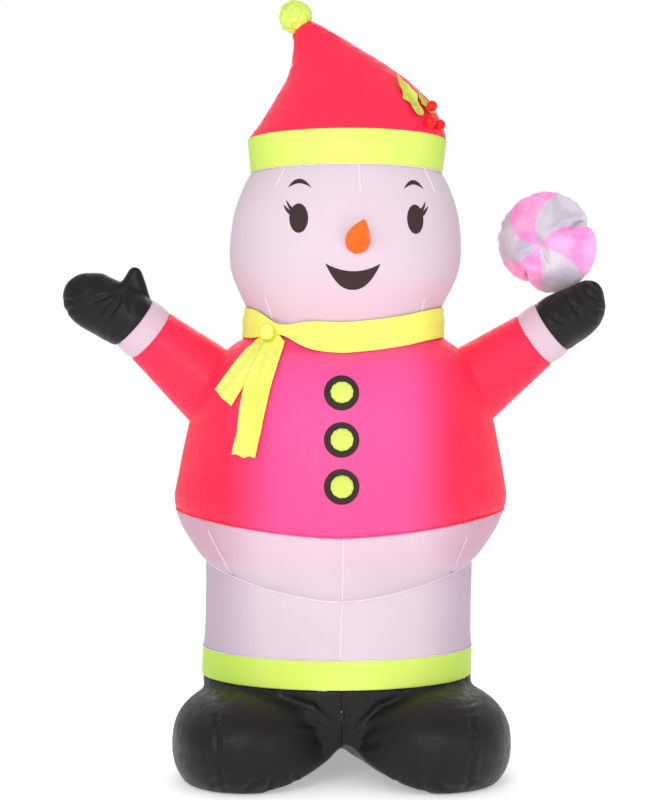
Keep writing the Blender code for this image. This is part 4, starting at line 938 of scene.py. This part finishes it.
def blown_discs():
    """Two flat discs sewn rim to rim and blown up as cloth, which gathers the rim by itself."""
    half = [(DISC_RADIUS * i / DISC_RINGS, 0.006 * (1 - (i / DISC_RINGS) ** 2) + 0.0008) for i in range(DISC_RINGS)]
    bm = spun([*half, (DISC_RADIUS, 0.0), *[(r, -z) for r, z in half[::-1]]], DISC_SIDES)
    for vert in bm.verts:
        shake = [noise.noise(vert.co * 30), noise.noise(vert.co * 30 + Vector((9, 0, 0))), noise.noise(vert.co * 25)]
        vert.co += Vector(shake) * 0.0012
    discs = helper("discs", bm)
    blown = discs.modifiers.new("blown", "CLOTH")
    cloth = blown.settings
    cloth.quality = 8
    cloth.mass = 0.15
    cloth.use_pressure = True
    cloth.uniform_pressure_force = 20.0
    cloth.tension_stiffness, cloth.compression_stiffness, cloth.shear_stiffness = 80.0, 32.0, 40.0
    cloth.bending_stiffness = 0.5
    cloth.tension_damping = cloth.compression_damping = cloth.shear_damping = 8.0
    cloth.air_damping = 2.0
    cloth.effector_weights.gravity = 0.0
    blown.collision_settings.use_collision = False
    blown.point_cache.frame_start, blown.point_cache.frame_end = 1, BLOWN_FRAMES
    for number in range(1, BLOWN_FRAMES + 1):
        bpy.context.scene.frame_set(number)
    result = bm_of(discs)
    drop(discs)
    bpy.context.scene.frame_set(1)
    return result


def candy():
    """The peppermint: two discs sewn rim to rim and blown up, so the rim gathers into radial creases."""
    matrix = candy_frame()
    bm = blown_discs()
    rim = sorted(math.hypot(v.co.x, v.co.y) for v in bm.verts)[-DISC_SIDES:]
    grow = (CANDY_RADIUS - 0.001) * len(rim) / sum(rim)
    thick = max(abs(v.co.z) for v in bm.verts)
    for vert in bm.verts:
        x, y, z = vert.co
        radius = max(math.hypot(x, y), 1e-4)
        wave = creased(noise.noise(Vector((x / radius / 0.10, y / radius / 0.10, 5.0 + radius / 0.09 + (z > 0)))))
        push = 1 + 0.040 * wave * math.exp(-max(0.147 - radius, 0.0) / 0.028)
        vert.co = (x * grow * push, y * grow * push, z * push * (CANDY_HALF - 0.004) / thick)
    box_uv(bm)
    bmesh.ops.transform(bm, matrix=matrix, verts=bm.verts)
    turn = matrix.to_3x3()
    centre = matrix.translation + turn @ Vector((0, 0, 0.09)) + STAND
    material = swirl(centre, turn @ Vector((1, 0, 0)), turn @ Vector((0, 1, 0)))
    return piece("candy_pillow", bm, material, stands_for=("candy_front", "candy_back"), closed=True,
                 levels=1)


# ---------------------------------------------------------------- base and boots

LOBE_PLACE, LOBE_HALF, LOBE_POWER, LOBE_SPLAY = (0.205, -0.100, 0.100), (0.238, 0.345, 0.157), 0.8, math.radians(17.0)
SKIRT_FOOT, ARCH_END, ARCH_ASIDE = (0.335, 0.292), 0.24, 0.022
# Half the gap's outline, across and up, one metre in front of where it closes; it shrinks evenly to there.
ARCH_OUTLINE = [(0.0, 0.208), (0.036, 0.190), (0.066, 0.156), (0.105, 0.116), (0.175, 0.068), (0.262, 0.028),
                (0.350, 0.0), (0.400, -0.10)]
BOOT_CREASES = [
    ([(-0.004, 0.150), (-0.075, 0.215), (-0.150, 0.236)], 0.0060, 0.009, 0.0),
    ([(-0.010, 0.130), (-0.060, 0.170), (-0.120, 0.176)], 0.0048, 0.008, 0.0),
    ([(-0.012, 0.115), (-0.070, 0.132)], 0.0036, 0.007, 0.0),
    ([(0.034, 0.150), (0.098, 0.215), (0.165, 0.236)], 0.0060, 0.009, 0.0),
    ([(0.040, 0.130), (0.088, 0.170), (0.140, 0.178)], 0.0048, 0.008, 0.0),
    ([(0.040, 0.115), (0.095, 0.130)], 0.0036, 0.007, 0.0),
    ([(0.015, 0.250), (0.015, 0.120)], 0.0050, 0.006, 0.0040),
    ([(-0.325, 0.235), (-0.318, 0.120), (-0.300, 0.020)], 0.0040, 0.006, 0.0036),
    ([(0.335, 0.235), (0.338, 0.120), (0.320, 0.020)], 0.0040, 0.006, 0.0036),
    ([(-0.250, 0.015), (-0.215, 0.050)], 0.0040, 0.007, 0.0), ([(-0.190, 0.010), (-0.180, 0.048)], 0.0036, 0.006, 0.0),
    ([(-0.330, 0.030), (-0.290, 0.060)], 0.0040, 0.007, 0.0), ([(-0.120, 0.020), (-0.125, 0.055)], 0.0034, 0.006, 0.0),
    ([(0.270, 0.015), (0.235, 0.050)], 0.0040, 0.007, 0.0), ([(0.210, 0.010), (0.200, 0.048)], 0.0036, 0.006, 0.0),
    ([(0.350, 0.030), (0.310, 0.060)], 0.0040, 0.007, 0.0), ([(0.140, 0.020), (0.145, 0.055)], 0.0034, 0.006, 0.0)]


def boot_lobe(side):
    angles = [math.pi * (i / 40 - 0.5) for i in range(1, 40)]
    outline = [(math.cos(a) ** LOBE_POWER, math.copysign(abs(math.sin(a)) ** LOBE_POWER, a)) for a in angles]
    bm = spun([(0.0, -1.0), *outline, (0.0, 1.0)], 80)
    matrix = (Matrix.Translation((side * LOBE_PLACE[0], LOBE_PLACE[1], LOBE_PLACE[2]))
              @ Matrix.Rotation(side * LOBE_SPLAY, 4, "Z") @ Matrix.Diagonal((*LOBE_HALF, 1.0)))
    bmesh.ops.transform(bm, matrix=matrix, verts=bm.verts)
    return bm


def base_skirt():
    hem, top = HEM_OUTLINE[0][0] - 0.002, HEM_BOTTOM + 0.05
    bm = spun([(0.0, -0.1), (SKIRT_FOOT[0], -0.1), (SKIRT_FOOT[0], 0.0), (hem - 0.004, HEM_BOTTOM * 0.62), (hem, HEM_BOTTOM),
               (hem, top), (0.0, top)], 128)
    foot_share = SKIRT_FOOT[1] / SKIRT_FOOT[0]
    for vert in bm.verts:
        share = min(max(vert.co.z / HEM_BOTTOM, 0.0), 1.0)
        vert.co.y *= foot_share + (DEPTH - foot_share) * share
        vert.co.x += LEAN * (vert.co.z - UPRIGHT_Z) * share
    return bm


def boots():
    half = dense(ARCH_OUTLINE, 0.02)
    gap = bmesh.new()
    around = [(ARCH_ASIDE + x, z) for x, z in half[::-1]] + [(ARCH_ASIDE - x, z) for x, z in half[1:]]
    opening = gap.faces.new([gap.verts.new((x, ARCH_END - 1.0, z)) for x, z in around])
    narrow = bmesh.ops.extrude_face_region(gap, geom=[opening], use_keep_orig=True)["geom"]
    apex = Vector((0.0, ARCH_END, 0.0))
    for vert in [item for item in narrow if isinstance(item, bmesh.types.BMVert)]:
        vert.co = apex + (vert.co - apex) * 0.004
    ground = bmesh.new()
    bmesh.ops.create_cube(ground, size=1.0, matrix=Matrix.Translation((0, 0, -0.4995)) @ Matrix.Diagonal((2.0, 2.0, 1.0, 1.0)))
    form = together("base_form", [base_skirt(), boot_lobe(-1), boot_lobe(1)])
    bm = merged_skin(form, 0.0062, 7, [helper("gap", gap), helper("ground", ground)])
    wrinkle(bm, BOOT_CREASES, (), 0.0015, 5.0, 9.0)
    for vert in bm.verts:
        x, y, z = vert.co
        away = HEM_BOTTOM - z
        if 0 < away < 0.12:
            wave = noise.noise(Vector((x / 0.017, y / 0.017, away / 0.09 + 3.0)))
            vert.co += vert.normal * (0.0030 * math.exp(-away / 0.028) * creased(wave) - 0.003 * math.exp(-away / 0.006))
        sole = math.exp(-max(z, 0.0) / 0.020)
        wave = noise.noise(Vector((x / 0.020, y / 0.020, 11.0)))
        vert.co += Vector((vert.normal.x, vert.normal.y, 0.0)) * (0.0040 * sole * creased(wave))
        vert.co.z = max(vert.co.z, 0.0006)
    hole = bmesh.new()
    bmesh.ops.create_cone(hole, cap_ends=True, segments=96, radius1=0.083, radius2=0.083, depth=0.3,
                          matrix=Matrix.Translation((0, 0.35, 0.150)) @ Matrix.Rotation(math.radians(-90), 4, "X"))
    bores = helper("bore", hole)
    whole = helper("base_skin", bm)
    cut = whole.modifiers.new("cut", "BOOLEAN")
    cut.object = bores
    cut.operation = "DIFFERENCE"
    skin = bm_of(whole)
    drop(bores, whole)
    data = bpy.data.meshes.new("skin")
    skin.to_mesh(data)
    skin.free()
    for name, planes in (("boot_left", (((0, 0, 0), (1, 0, 0)), ((0, BASE_SPLIT, 0), (0, 1, 0)))),
                         ("boot_right", (((0, 0, 0), (-1, 0, 0)), ((0, BASE_SPLIT, 0), (0, 1, 0)))),
                         ("base_rear_panel", (((0, BASE_SPLIT, 0), (0, -1, 0)),))):
        bm = bmesh.new()
        bm.from_mesh(data)
        for place, normal in (*planes, ((0, 0, HEM_BOTTOM - 0.0004), (0, 0, 1))):
            middle = Vector(place) - Vector(normal) * 0.0004
            bmesh.ops.bisect_plane(bm, geom=bm.verts[:] + bm.edges[:] + bm.faces[:], dist=1e-5, plane_co=middle,
                                   plane_no=normal, clear_outer=True)
        inside = [f for f in bm.faces if math.hypot(f.calc_center_median().x, f.calc_center_median().z - 0.150) < 0.0825
                  and f.calc_center_median().y > 0.1]
        bmesh.ops.delete(bm, geom=inside, context="FACES")
        box_uv(bm)
        piece(f"{name}_cloth", bm, BLACK, stands_for=(name,), wall=CLOTH)
    bpy.data.meshes.remove(data)


# ---------------------------------------------------------------- scarf


def neck_profile():
    low = between([(z, r) for r, z in JACKET_OUTLINE], 1.190)
    high = between([(z, r) for r, z in HEAD_OUTLINE], 1.268)
    return [(low + 0.0025, 1.188), (max(low, high) + 0.0035, 1.229), (high + 0.003, 1.270)]


KNOT_ANGLE = math.atan2(-0.205 / DEPTH, -0.186)


def scarf(jacket_tree):
    """A strip of cloth round the neck, gathered to a knot, with two tails."""
    path = dense(neck_profile(), 0.0026)
    bm = spun(path, 360)
    turned_uv(bm, 0.265)
    for vert in bm.verts:
        x, y, z = vert.co
        angle = math.atan2(y, x)
        radius = math.hypot(x, y)
        off = abs((angle - KNOT_ANGLE + math.pi) % math.tau - math.pi)
        gather = math.exp(-(off / 0.26) ** 2)
        middle = 1.229
        up = (z - middle) * (1 - 0.66 * gather)
        fold = math.sin(up / 0.041 * math.pi * 2.1 + 1.3 * noise.noise(Vector((x * 3, y * 3, 4.0))) + 0.8)
        push = 0.0020 * fold * (0.35 + 0.8 * abs(noise.noise(Vector((x * 7, y * 7, 0.3)))) + 0.9 * gather)
        push += 0.0022 * noise.noise(Vector((x * 30, y * 30, z * 9))) * (0.5 + gather)
        edge = min(z - path[0][1], path[-1][1] - z)
        push += 0.0010 * math.exp(-edge / 0.003)
        scale = (radius + 0.0010 + push) / radius
        wander = 0.0030 * noise.noise(Vector((x * 9, y * 9, 2.0)))
        vert.co = (x * scale, y * scale, middle + up + wander)
    settle(bm)
    band_tree = BVHTree.FromBMesh(bm)
    band = piece("scarf_band_cloth", bm, YELLOW, stands_for=("scarf_band",), wall=0.0012, outwards=False)
    knot_low, knot_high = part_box("scarf_knot")
    middle = (knot_low + knot_high) / 2 - STAND
    normal = Vector((middle.x + 0.006, middle.y, 0.0)).normalized()
    side = Vector((0, 0, 1)).cross(normal).normalized()
    stand = Matrix.Translation(middle) @ Matrix((side, normal.cross(side), normal)).transposed().to_4x4()
    bm = ball_bm((0.0215, 0.0215, 0.0175), Matrix.Identity(4), 72, 48)
    for vert in bm.verts:
        x, y, z = vert.co
        folds = math.sin((x * 0.8 + y * 0.5) / 0.0062 + 2.2 * noise.noise(vert.co * 40))
        pinch = 0.84 + 0.16 * min(1.0, abs(y) / 0.02)
        vert.co = Vector((x * pinch, y, z)) * (1 + 0.060 * folds * (z > -0.012) + 0.07 * noise.noise(vert.co * 55))
    box_uv(bm)
    bmesh.ops.transform(bm, matrix=stand, verts=bm.verts)
    knot = piece("scarf_knot_cloth", bm, YELLOW, stands_for=("scarf_knot",), closed=True)
    short = [(-0.205, 1.190), (-0.228, 1.174), (-0.255, 1.144), (-0.297, 1.088), (-0.3345, 1.040), (-0.312, 1.016),
             (-0.2867, 0.996), (-0.268, 1.028), (-0.247, 1.060), (-0.222, 1.100), (-0.200, 1.145), (-0.188, 1.180)]
    long = [(-0.204, 1.190), (-0.206, 1.160), (-0.226, 1.110), (-0.247, 1.060), (-0.2610, 0.990), (-0.2680, 0.930), (-0.280, 0.871),
            (-0.2640, 0.8690), (-0.2500, 0.8610), (-0.2360, 0.8660), (-0.219, 0.861), (-0.203, 0.940), (-0.181, 1.040),
            (-0.168, 1.085), (-0.159, 1.120), (-0.147, 1.164), (-0.160, 1.184), (-0.176, 1.193)]
    for name, outline, pivot, size in (
            ("scarf_tail_short", short, (-0.196, 1.19), (0.085, 0.225)),
            ("scarf_tail_long", long, (-0.182, 1.19), (0.095, 0.325))):
        axis = Vector((outline[4][0] - pivot[0], outline[4][1] - pivot[1])).normalized()

        def folds(x, z, axis=axis, pivot=pivot, name=name):
            along = (x - pivot[0]) * axis.x + (z - pivot[1]) * axis.y
            across = (x - pivot[0]) * axis.y - (z - pivot[1]) * axis.x
            fan = across / (0.25 + along * 2.2)
            wave = math.sin(fan * 105 + 1.5 * noise.noise(Vector((along * 14, across * 10, 3.0))))
            gain = min(1.0, along / 0.05)
            return (0.0065 if name == "scarf_tail_long" else 0.0025) + gain * (0.0018 * wave + 0.0014 * noise.noise(Vector((x * 40, z * 24, 1.0))))

        bm = flat_bm([outline], 0.0045)
        unfolded = bm.copy()
        lay_on(bm, (jacket_tree, band_tree), 0.0040, rise=folds)
        lay_on(unfolded, (jacket_tree, band_tree), 0.0040)
        for part in (bm, unfolded):
            smooth_lift(part, 5)
        joint = next(j for j in frame["joints"] if j["name"] == name + "_lift")
        hinge = Vector(joint["pos_m"]) - STAND
        down = Vector(joint["axis"]).cross(Vector((0, 1, 0))).normalized()
        down *= -1 if down.z > 0 else 1
        root = bm.copy()
        for part, normal in ((bm, -down), (unfolded, -down), (root, down)):
            bmesh.ops.bisect_plane(part, geom=part.verts[:] + part.edges[:] + part.faces[:], dist=1e-5, plane_co=hinge,
                                   plane_no=normal, clear_outer=True)
        if root.faces:
            piece(name + "_root_cloth", root, YELLOW, wall=0.0012)
        cut_area = sum(f.calc_area() for f in unfolded.faces)
        unfolded.free()
        tail = piece(name + "_cloth", bm, YELLOW, name, stands_for=(name,), wall=0.0012)


# ---------------------------------------------------------------- hat trimmings, nose, seams


def nose(head_tree):
    """A carrot of two gores, its tip turned up a little to the right."""
    right = Vector((math.cos(FACE_TURN), math.sin(FACE_TURN), 0.0))
    out = Vector((math.sin(FACE_TURN), -math.cos(FACE_TURN), 0.0))
    middle = right * -0.004 + Vector((LEAN * (1.4287 - UPRIGHT_Z), 0.0, 1.4287))
    place, _, _, _ = head_tree.ray_cast(middle + out, -out)
    base, length, rise = 0.033, 0.112, math.tan(math.radians(23.0))
    line = dense([(base * 0.95, 0.0), (base, 0.010), (base * 0.88, 0.030), (base * 0.62, 0.060), (base * 0.36, 0.085),
                  (base * 0.12, 0.106), (base * 0.03, length - 0.001)], 0.004)
    bm = spun([(0.0, 0.0), *line, (0.0, length)], 72)
    for vert in bm.verts:
        x, y, z = vert.co
        angle = math.atan2(y, x)
        t = z / length
        seam = -0.0016 * math.exp(-((x - 0.002) / 0.0028) ** 2) * (1 - t)
        ripple = 0.0010 * creased(noise.noise(Vector((math.cos(angle) * 2.3, math.sin(angle) * 2.3, z / 0.03)))) * (1 - 0.5 * t)
        radius = math.hypot(x, y)
        scale = 1 + (seam + ripple) / radius if radius > 0.004 else 1.0
        vert.co = (x * scale + 0.004 * t * t, y * scale + z * rise, z)
    box_uv(bm)
    stand = Matrix.Translation(place + out * 0.0005) @ Matrix((right, Vector((0, 0, 1)), out)).transposed().to_4x4()
    bmesh.ops.transform(bm, matrix=stand, verts=bm.verts)
    return piece("nose_cloth", bm, ORANGE, stands_for=("nose",), closed=True)


def pompom():
    """A puff of lime cloth gathered with thread, its pleats running to the hat's tip."""
    low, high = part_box("hat_pompom")
    centre = Vector(((low.x + high.x) / 2, (low.y + high.y) / 2, high.z - POMPOM_RADIUS)) - STAND
    foot = Vector((0.55, 0.0, -0.83)).normalized()
    turn = foot.to_track_quat("-Z", "Y").to_matrix().to_4x4()
    bm = ball_bm((1.0, 1.0, 1.0), Matrix.Identity(4), 144, 72)
    for vert in bm.verts:
        x, y, z = vert.co
        angle = math.atan2(y, x)
        ridge = abs(math.sin(4.5 * angle + 1.4 * noise.noise(vert.co * 1.8))) ** 0.7 - 0.55
        gather = 0.5 - 0.5 * z
        facets = creased(noise.noise(vert.co * 2.2 + Vector((4, 0, 0))), 2.2)
        small = creased(noise.noise(vert.co * 5.0 + Vector((0, 7, 0))), 2.2)
        vert.co *= POMPOM_RADIUS * (0.94 + 0.085 * ridge * gather + 0.085 * facets + 0.030 * small)
    box_uv(bm)
    bmesh.ops.transform(bm, matrix=Matrix.Translation(centre) @ turn, verts=bm.verts)
    puff = piece("hat_pompom_puff", bm, LIME, stands_for=("hat_pompom",), closed=True)


def holly():
    for name, body_joint, lobes in (("holly_leaf_large", "holly_leaf_large_lift", 3), ("holly_leaf_small", "holly_leaf_small_lift", 2)):
        node = NODES[name]
        corners = [v.co.copy() - STAND for v in node.data.vertices]
        middle = sum(corners, Vector()) / len(corners)
        joint = next(j for j in frame["joints"] if j["name"] == body_joint)
        foot = Vector(joint["pos_m"]) - STAND
        far = max(corners, key=lambda p: (p - foot).length)
        along = (far - foot).normalized()
        length = (far - foot).length
        side = Vector(joint["axis"]).normalized()
        normal = side.cross(along).normalized()
        if normal.y > 0:
            normal = -normal
        side = along.cross(normal).normalized()
        half = max(abs((p - foot).dot(side)) for p in corners)
        right = [(0.12, 0.0), (0.55, 0.06), (0.86, 0.18), (0.66, 0.27), (0.74, 0.36), (1.0, 0.46), (0.74, 0.57), (0.66, 0.66),
                 (0.70, 0.74), (0.30, 0.88)]
        outline = [(half * x, length * y) for x, y in right] + [(0.0, length)]
        outline += [(-half * x, length * y) for x, y in reversed(right)]
        bm = flat_bm([rounded(outline, 0.002)], 0.0040)
        for vert in bm.verts:
            x, y, _ = vert.co
            ridge = 0.0055 * (1 - math.exp(-abs(x) / 0.007)) - 0.0010
            curl = 0.0060 * (1.0 if name == "holly_leaf_large" else 0.2) * (abs(x) / half) ** 2 * math.sin(y / length * 9.0 + 0.5 + 2.0 * (x > 0))
            arch = (0.0045 if name == "holly_leaf_large" else 0.0010) * math.sin(math.pi * y / length)
            vert.co.z = -ridge + curl + arch + (0.0035 if name == "holly_leaf_large" else 0.0015)
        frame_at = Matrix.Translation(foot) @ Matrix((side, along, normal)).transposed().to_4x4()
        bmesh.ops.transform(bm, matrix=frame_at, verts=bm.verts)
        leaf = piece(name + "_cloth", bm, LEAF, name, stands_for=(name,), wall=0.0010)
    for number in (1, 2, 3):
        low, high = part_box(f"holly_berry_{number}")
        centre, radius = (low + high) / 2 - STAND, (high.x - low.x) / 2
        bm = ball_bm((1.0, 1.0, 1.0), Matrix.Identity(4), 64, 40)
        for vert in bm.verts:
            x, y, z = vert.co
            angle = math.atan2(z, x)
            pole = math.exp(-(1 + y) / 0.10)
            ridge = math.cos(7 * angle + number) * 0.02 * (1 - abs(y)) + 0.025 * noise.noise(vert.co * 2.5 + Vector((number, 0, 0)))
            vert.co *= radius * (0.985 + ridge - 0.10 * pole * 0.5)
        box_uv(bm)
        bmesh.ops.translate(bm, verts=bm.verts, vec=centre)
        berry = piece(f"holly_berry_{number}_puff", bm, RED, stands_for=(f"holly_berry_{number}",), closed=True)


def welts(name, lines, tree, material=None, radius=0.0011, turn=0.0, behind=False):
    """Sewn seams that stand as fine welts on the cloth."""
    curve = bpy.data.curves.new(name, "CURVE")
    curve.dimensions = "3D"
    curve.bevel_depth = radius
    curve.bevel_resolution = 1
    curve.use_fill_caps = True
    way = Vector((0, -1 if behind else 1, 0))
    for line in lines:
        points = []
        for x, z in dense(line, 0.006):
            place, normal, _, _ = tree.ray_cast(Vector((x, -2.0 * way.y, z)), way)
            if place:
                points.append(place + normal * 0.0002)
        spline = curve.splines.new("POLY")
        spline.points.add(len(points) - 1)
        for point, place in zip(spline.points, points):
            point.co = (*place, 1.0)
    drawn = bpy.data.objects.new("drawn", curve)
    bpy.context.scene.collection.objects.link(drawn)
    bm = bm_of(drawn)
    drop(drawn)
    box_uv(bm)
    return piece(name, bm, material or SEAM_PAINTED_HIGHLIGHT, closed=True)


def seam_ring(name, radius, height, material, thick=0.0016):
    """The rounded welt of a seam that runs all the way round the body."""
    line = [(radius - 0.0003 + thick * math.cos(a), height + thick * math.sin(a)) for a in (math.tau * i / 8 for i in range(8))]
    bm = spun(line, 256, closed=True)
    turned_uv(bm, radius)
    for vert in bm.verts:
        x, y, z = vert.co
        swell = 1 + 0.0007 * noise.noise(Vector((x / 0.012, y / 0.012, height))) / radius
        vert.co = (x * swell, y * swell, z)
    settle(bm)
    return piece(name, bm, material, closed=True)


# ---------------------------------------------------------------- straps, loops and the zip


def strap_pieces(leg_tree):
    for label, sign in (("left", -1), ("right", 1)):
        node = f"stake_loop_{label}"
        low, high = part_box(node)
        low, high = low - STAND, high - STAND
        width, length, thick = high.x - low.x, high.y - low.y, high.z - low.z
        x0, y0 = (low.x + high.x) / 2, low.y
        outer = [(-0.5, 0.0), (0.5, 0.0), (0.5, 0.80), (0.44, 0.93), (0.28, 1.0), (-0.28, 1.0), (-0.44, 0.93), (-0.5, 0.80)]
        hole = [(-0.24, 0.42), (0.24, 0.42), (0.24, 0.84), (-0.24, 0.84)]
        bm = flat_bm([[(x0 + width * x, y0 + length * y) for x, y in line] for line in (outer, hole)], 0.005)
        for vert in bm.verts:
            vert.co.z = high.z - 0.0004 + 0.0006 * noise.noise(vert.co * 90)
        piece(f"{node}_webbing", bm, WEBBING, node, stands_for=(node,), wall=thick * 0.8)
        node = f"tether_loop_{label}"
        copy = bmesh.new()
        copy.from_mesh(NODES[node].data)
        bmesh.ops.remove_doubles(copy, verts=copy.verts, dist=1e-6)
        bmesh.ops.translate(copy, verts=copy.verts, vec=-STAND)
        flat = [e for e in copy.edges if len(e.link_faces) == 2 and e.calc_face_angle() < 0.02]
        bmesh.ops.dissolve_edges(copy, edges=flat, use_verts=False)
        bmesh.ops.bevel(copy, geom=[e for e in copy.edges if e.calc_face_angle(0) > 0.9], offset=0.0008, affect="EDGES",
                        segments=2, profile=0.5, material=-1)
        bmesh.ops.triangulate(copy, faces=[f for f in copy.faces if len(f.verts) > 4])
        box_uv(copy)
        piece(f"{node}_webbing", copy, WEBBING, stands_for=(node,), closed=True)
    low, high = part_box("lamp_strap")
    low, high = low - STAND, high - STAND
    bm = bmesh.new()
    bmesh.ops.create_cube(bm, size=1.0, matrix=Matrix.Translation((low + high) / 2) @ Matrix.Diagonal((*(high - low), 1.0)))
    bmesh.ops.bevel(bm, geom=bm.edges, offset=0.0005, affect="EDGES", segments=2, profile=0.5, material=-1)
    box_uv(bm)
    piece("lamp_strap_webbing", bm, WEBBING, stands_for=("lamp_strap",), closed=True)
    low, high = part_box("zip_tape")
    low, high = low - STAND, high - STAND
    outline = [(low.x, low.z), (high.x, low.z), (high.x, high.z), (low.x, high.z)]
    bm = flat_bm([outline], 0.005)
    seat = 0.0
    for vert in bm.verts:
        x, z, _ = vert.co
        place, normal, _, _ = leg_tree.ray_cast(Vector((x, 2.0, z)), Vector((0, -1, 0)))
        vert.co = Vector((x, max(place.y, low.y) + 0.0012, z))
    bmesh.ops.reverse_faces(bm, faces=bm.faces)
    tape = piece("zip_tape_cloth", bm, WEBBING, stands_for=("zip_tape",), wall=0.0008)
    bm = bmesh.new()
    mid_x = (low.x + high.x) / 2
    count = int((high.z - low.z - 0.012) / 0.0032)
    for i in range(count):
        z = low.z + 0.006 + 0.0032 * i
        side = 1 if i % 2 else -1
        place, _, _, _ = leg_tree.ray_cast(Vector((mid_x, 2.0, z)), Vector((0, -1, 0)))
        bmesh.ops.create_cube(bm, size=1.0, matrix=Matrix.Translation((mid_x + side * 0.0012, max(place.y, low.y) + 0.0018, z))
                              @ Matrix.Diagonal((0.0036, 0.0014, 0.0020, 1.0)))
    box_uv(bm)
    piece("zip_teeth", bm, PLASTIC, closed=True)


def finish_cad_nodes():
    """Better finishes for the moulded and metal parts that are shown as they are."""
    plain = {"lamp_cover": FROSTED, "fan_motor": STEEL, "fan_shaft": STEEL, "zip_slider": STEEL, "zip_pull": STEEL}
    for name in ("blower_duct", "intake_grille", "outlet_grille", "mounting_ring", "motor_bracket", "fan_impeller", "power_inlet",
                 "lamp_socket"):
        plain[name] = PLASTIC
    for name, material in plain.items():
        slots = NODES[name].material_slots
        if not slots:
            NODES[name].data.materials.append(material)
        for slot in slots:
            slot.material = material


# ---------------------------------------------------------------- the whole figure

BELLY_DARTS = [([(-0.352, 0.666), (-0.283, 0.527)], 0.0040, 0.008, 0.0030), ([(0.332, 0.650), (0.285, 0.521)], 0.0040, 0.008, 0.0030)]
CENTRE = [(-0.008, 0.60), (-0.013, 0.25)]


def hat_folds(x, y, height, run):
    """Creases where the hat's tip is drawn over, and fine level ripples up its left side."""
    tip = max(0.0, (height - 1.90) / 0.16)
    angle = math.atan2(y, x)
    push = 0.0040 * tip * creased(noise.noise(Vector((math.cos(angle) * 1.9, math.sin(angle) * 1.9, height / 0.030))))
    left = max(0.0, -x / max(math.hypot(x, y), 1e-4))
    return push + 0.0013 * left * creased(noise.noise(Vector((x * 4, y * 4, height / 0.010))))


def build():
    section("hem_band_cloth", HEM_OUTLINE, LIME, 1.0, 0.0018, 0.0012, 0.020,
            lines=[([(-0.010, 0.34), (-0.012, 0.25)], 0.0020, 0.005, 0.0)])
    _, leg_tree = section("leg_panel_cloth", LEG_OUTLINE, WHITE, 2.0, 0.0012, 0.0026, 0.040,
                          lines=[([(-0.006, 0.49), (-0.010, 0.33)], 0.0026, 0.006, 0.0012)])
    _, belly_tree = section("belly_panel_cloth", BELLY_OUTLINE, WHITE, 3.0, 0.0024, 0.0034, 0.034,
                            lines=[*BELLY_DARTS, ([(-0.004, 0.67), (-0.006, 0.48)], 0.0026, 0.006, 0.0012)])
    _, jacket_tree = section("jacket_cloth", JACKET_OUTLINE, PINK, 4.0, 0.0030, 0.0030, 0.034, dents=0.0022)
    _, head_tree = section("head_cloth", HEAD_OUTLINE, WHITE, 5.0, 0.0022, 0.0026, 0.034, dents=0.0016)
    section("hat_band_cloth", BAND_OUTLINE, LIME, 6.0, 0.0022, 0.0020, 0.018)
    section("hat_cone_cloth", HAT_OUTLINE, PINK, 7.0, 0.0022, 0.0, 0.030, bend=HAT_BEND, extra=hat_folds)
    welts("belly_seams", [[(-0.352, 0.666), (-0.283, 0.527)], [(0.332, 0.650), (0.285, 0.521)],
                          [(0.004, 0.655), (0.002, 0.495)]], belly_tree)
    # the white welts are painted paler than the cloth, a painted highlight along the seams
    seam_ring("leg_top_welt", LEG_OUTLINE[-1][0], LEG_TOP, SEAM_PAINTED_HIGHLIGHT)
    seam_ring("hem_top_welt", HEM_OUTLINE[-1][0], HEM_TOP, SEAM_PAINTED_HIGHLIGHT, 0.0012)
    seam_ring("hat_seam_welt", BAND_OUTLINE[0][0], HAT_SEAM, SEAM_PAINTED_HIGHLIGHT, 0.0012)
    seam_ring("jacket_hem_welt", JACKET_OUTLINE[0][0], JACKET_HEM, PINK, 0.0018)
    welts("leg_seams", [[(0.001, 0.480), (-0.004, 0.340)]], leg_tree)
    welts("head_seams", [[(0.046, 1.665), (0.050, 1.560)], [(-0.150, 1.640), (-0.175, 1.585)], [(0.225, 1.640), (0.252, 1.575)],
                         [(-0.205, 1.290), (-0.187, 1.235)], [(0.225, 1.285), (0.215, 1.250)]], head_tree)
    for side in ("left", "right"):
        tube(f"sleeve_{side}_cloth", [(sleeve_radius(t), t) for t in (-0.075, 0.02, 0.11, SLEEVE_LENGTH - 0.0004)], side, PINK,
             11.0 if side == "left" else 12.0, 0.0, 0.0026, 0.028, (f"sleeve_{side}",))
        tube(f"cuff_{side}_cloth", [(CUFF_RADIUS, SLEEVE_LENGTH + 0.0004), (CUFF_RADIUS + 0.0012, SLEEVE_LENGTH + 0.03),
                                    (CUFF_RADIUS - 0.0015, SLEEVE_LENGTH + CUFF_LENGTH - 0.0004)], side, WHITE,
             13.0 if side == "left" else 14.0, 0.0016, 0.0018, 0.016, (f"cuff_{side}",))
    seat = candy_frame()
    line = pillow_line(CANDY_RADIUS + 0.002, CANDY_HALF + 0.002, 12)
    seat_bm = spun([(0.0, -line[-1][1]), *[(r, -z) for r, z in line[-2:0:-1]], *line], 64)
    bmesh.ops.transform(seat_bm, matrix=seat, verts=seat_bm.verts)
    mitten("left", LEFT_LOBES, LEFT_CREASES, ())
    mitten("right", RIGHT_LOBES, RIGHT_CREASES, [helper("seat", seat_bm)])
    candy()
    face(head_tree)
    nose(head_tree)
    buttons(jacket_tree)
    scarf(jacket_tree)
    pompom()
    holly()
    boots()
    strap_pieces(leg_tree)
    finish_cad_nodes()


studio()
build()
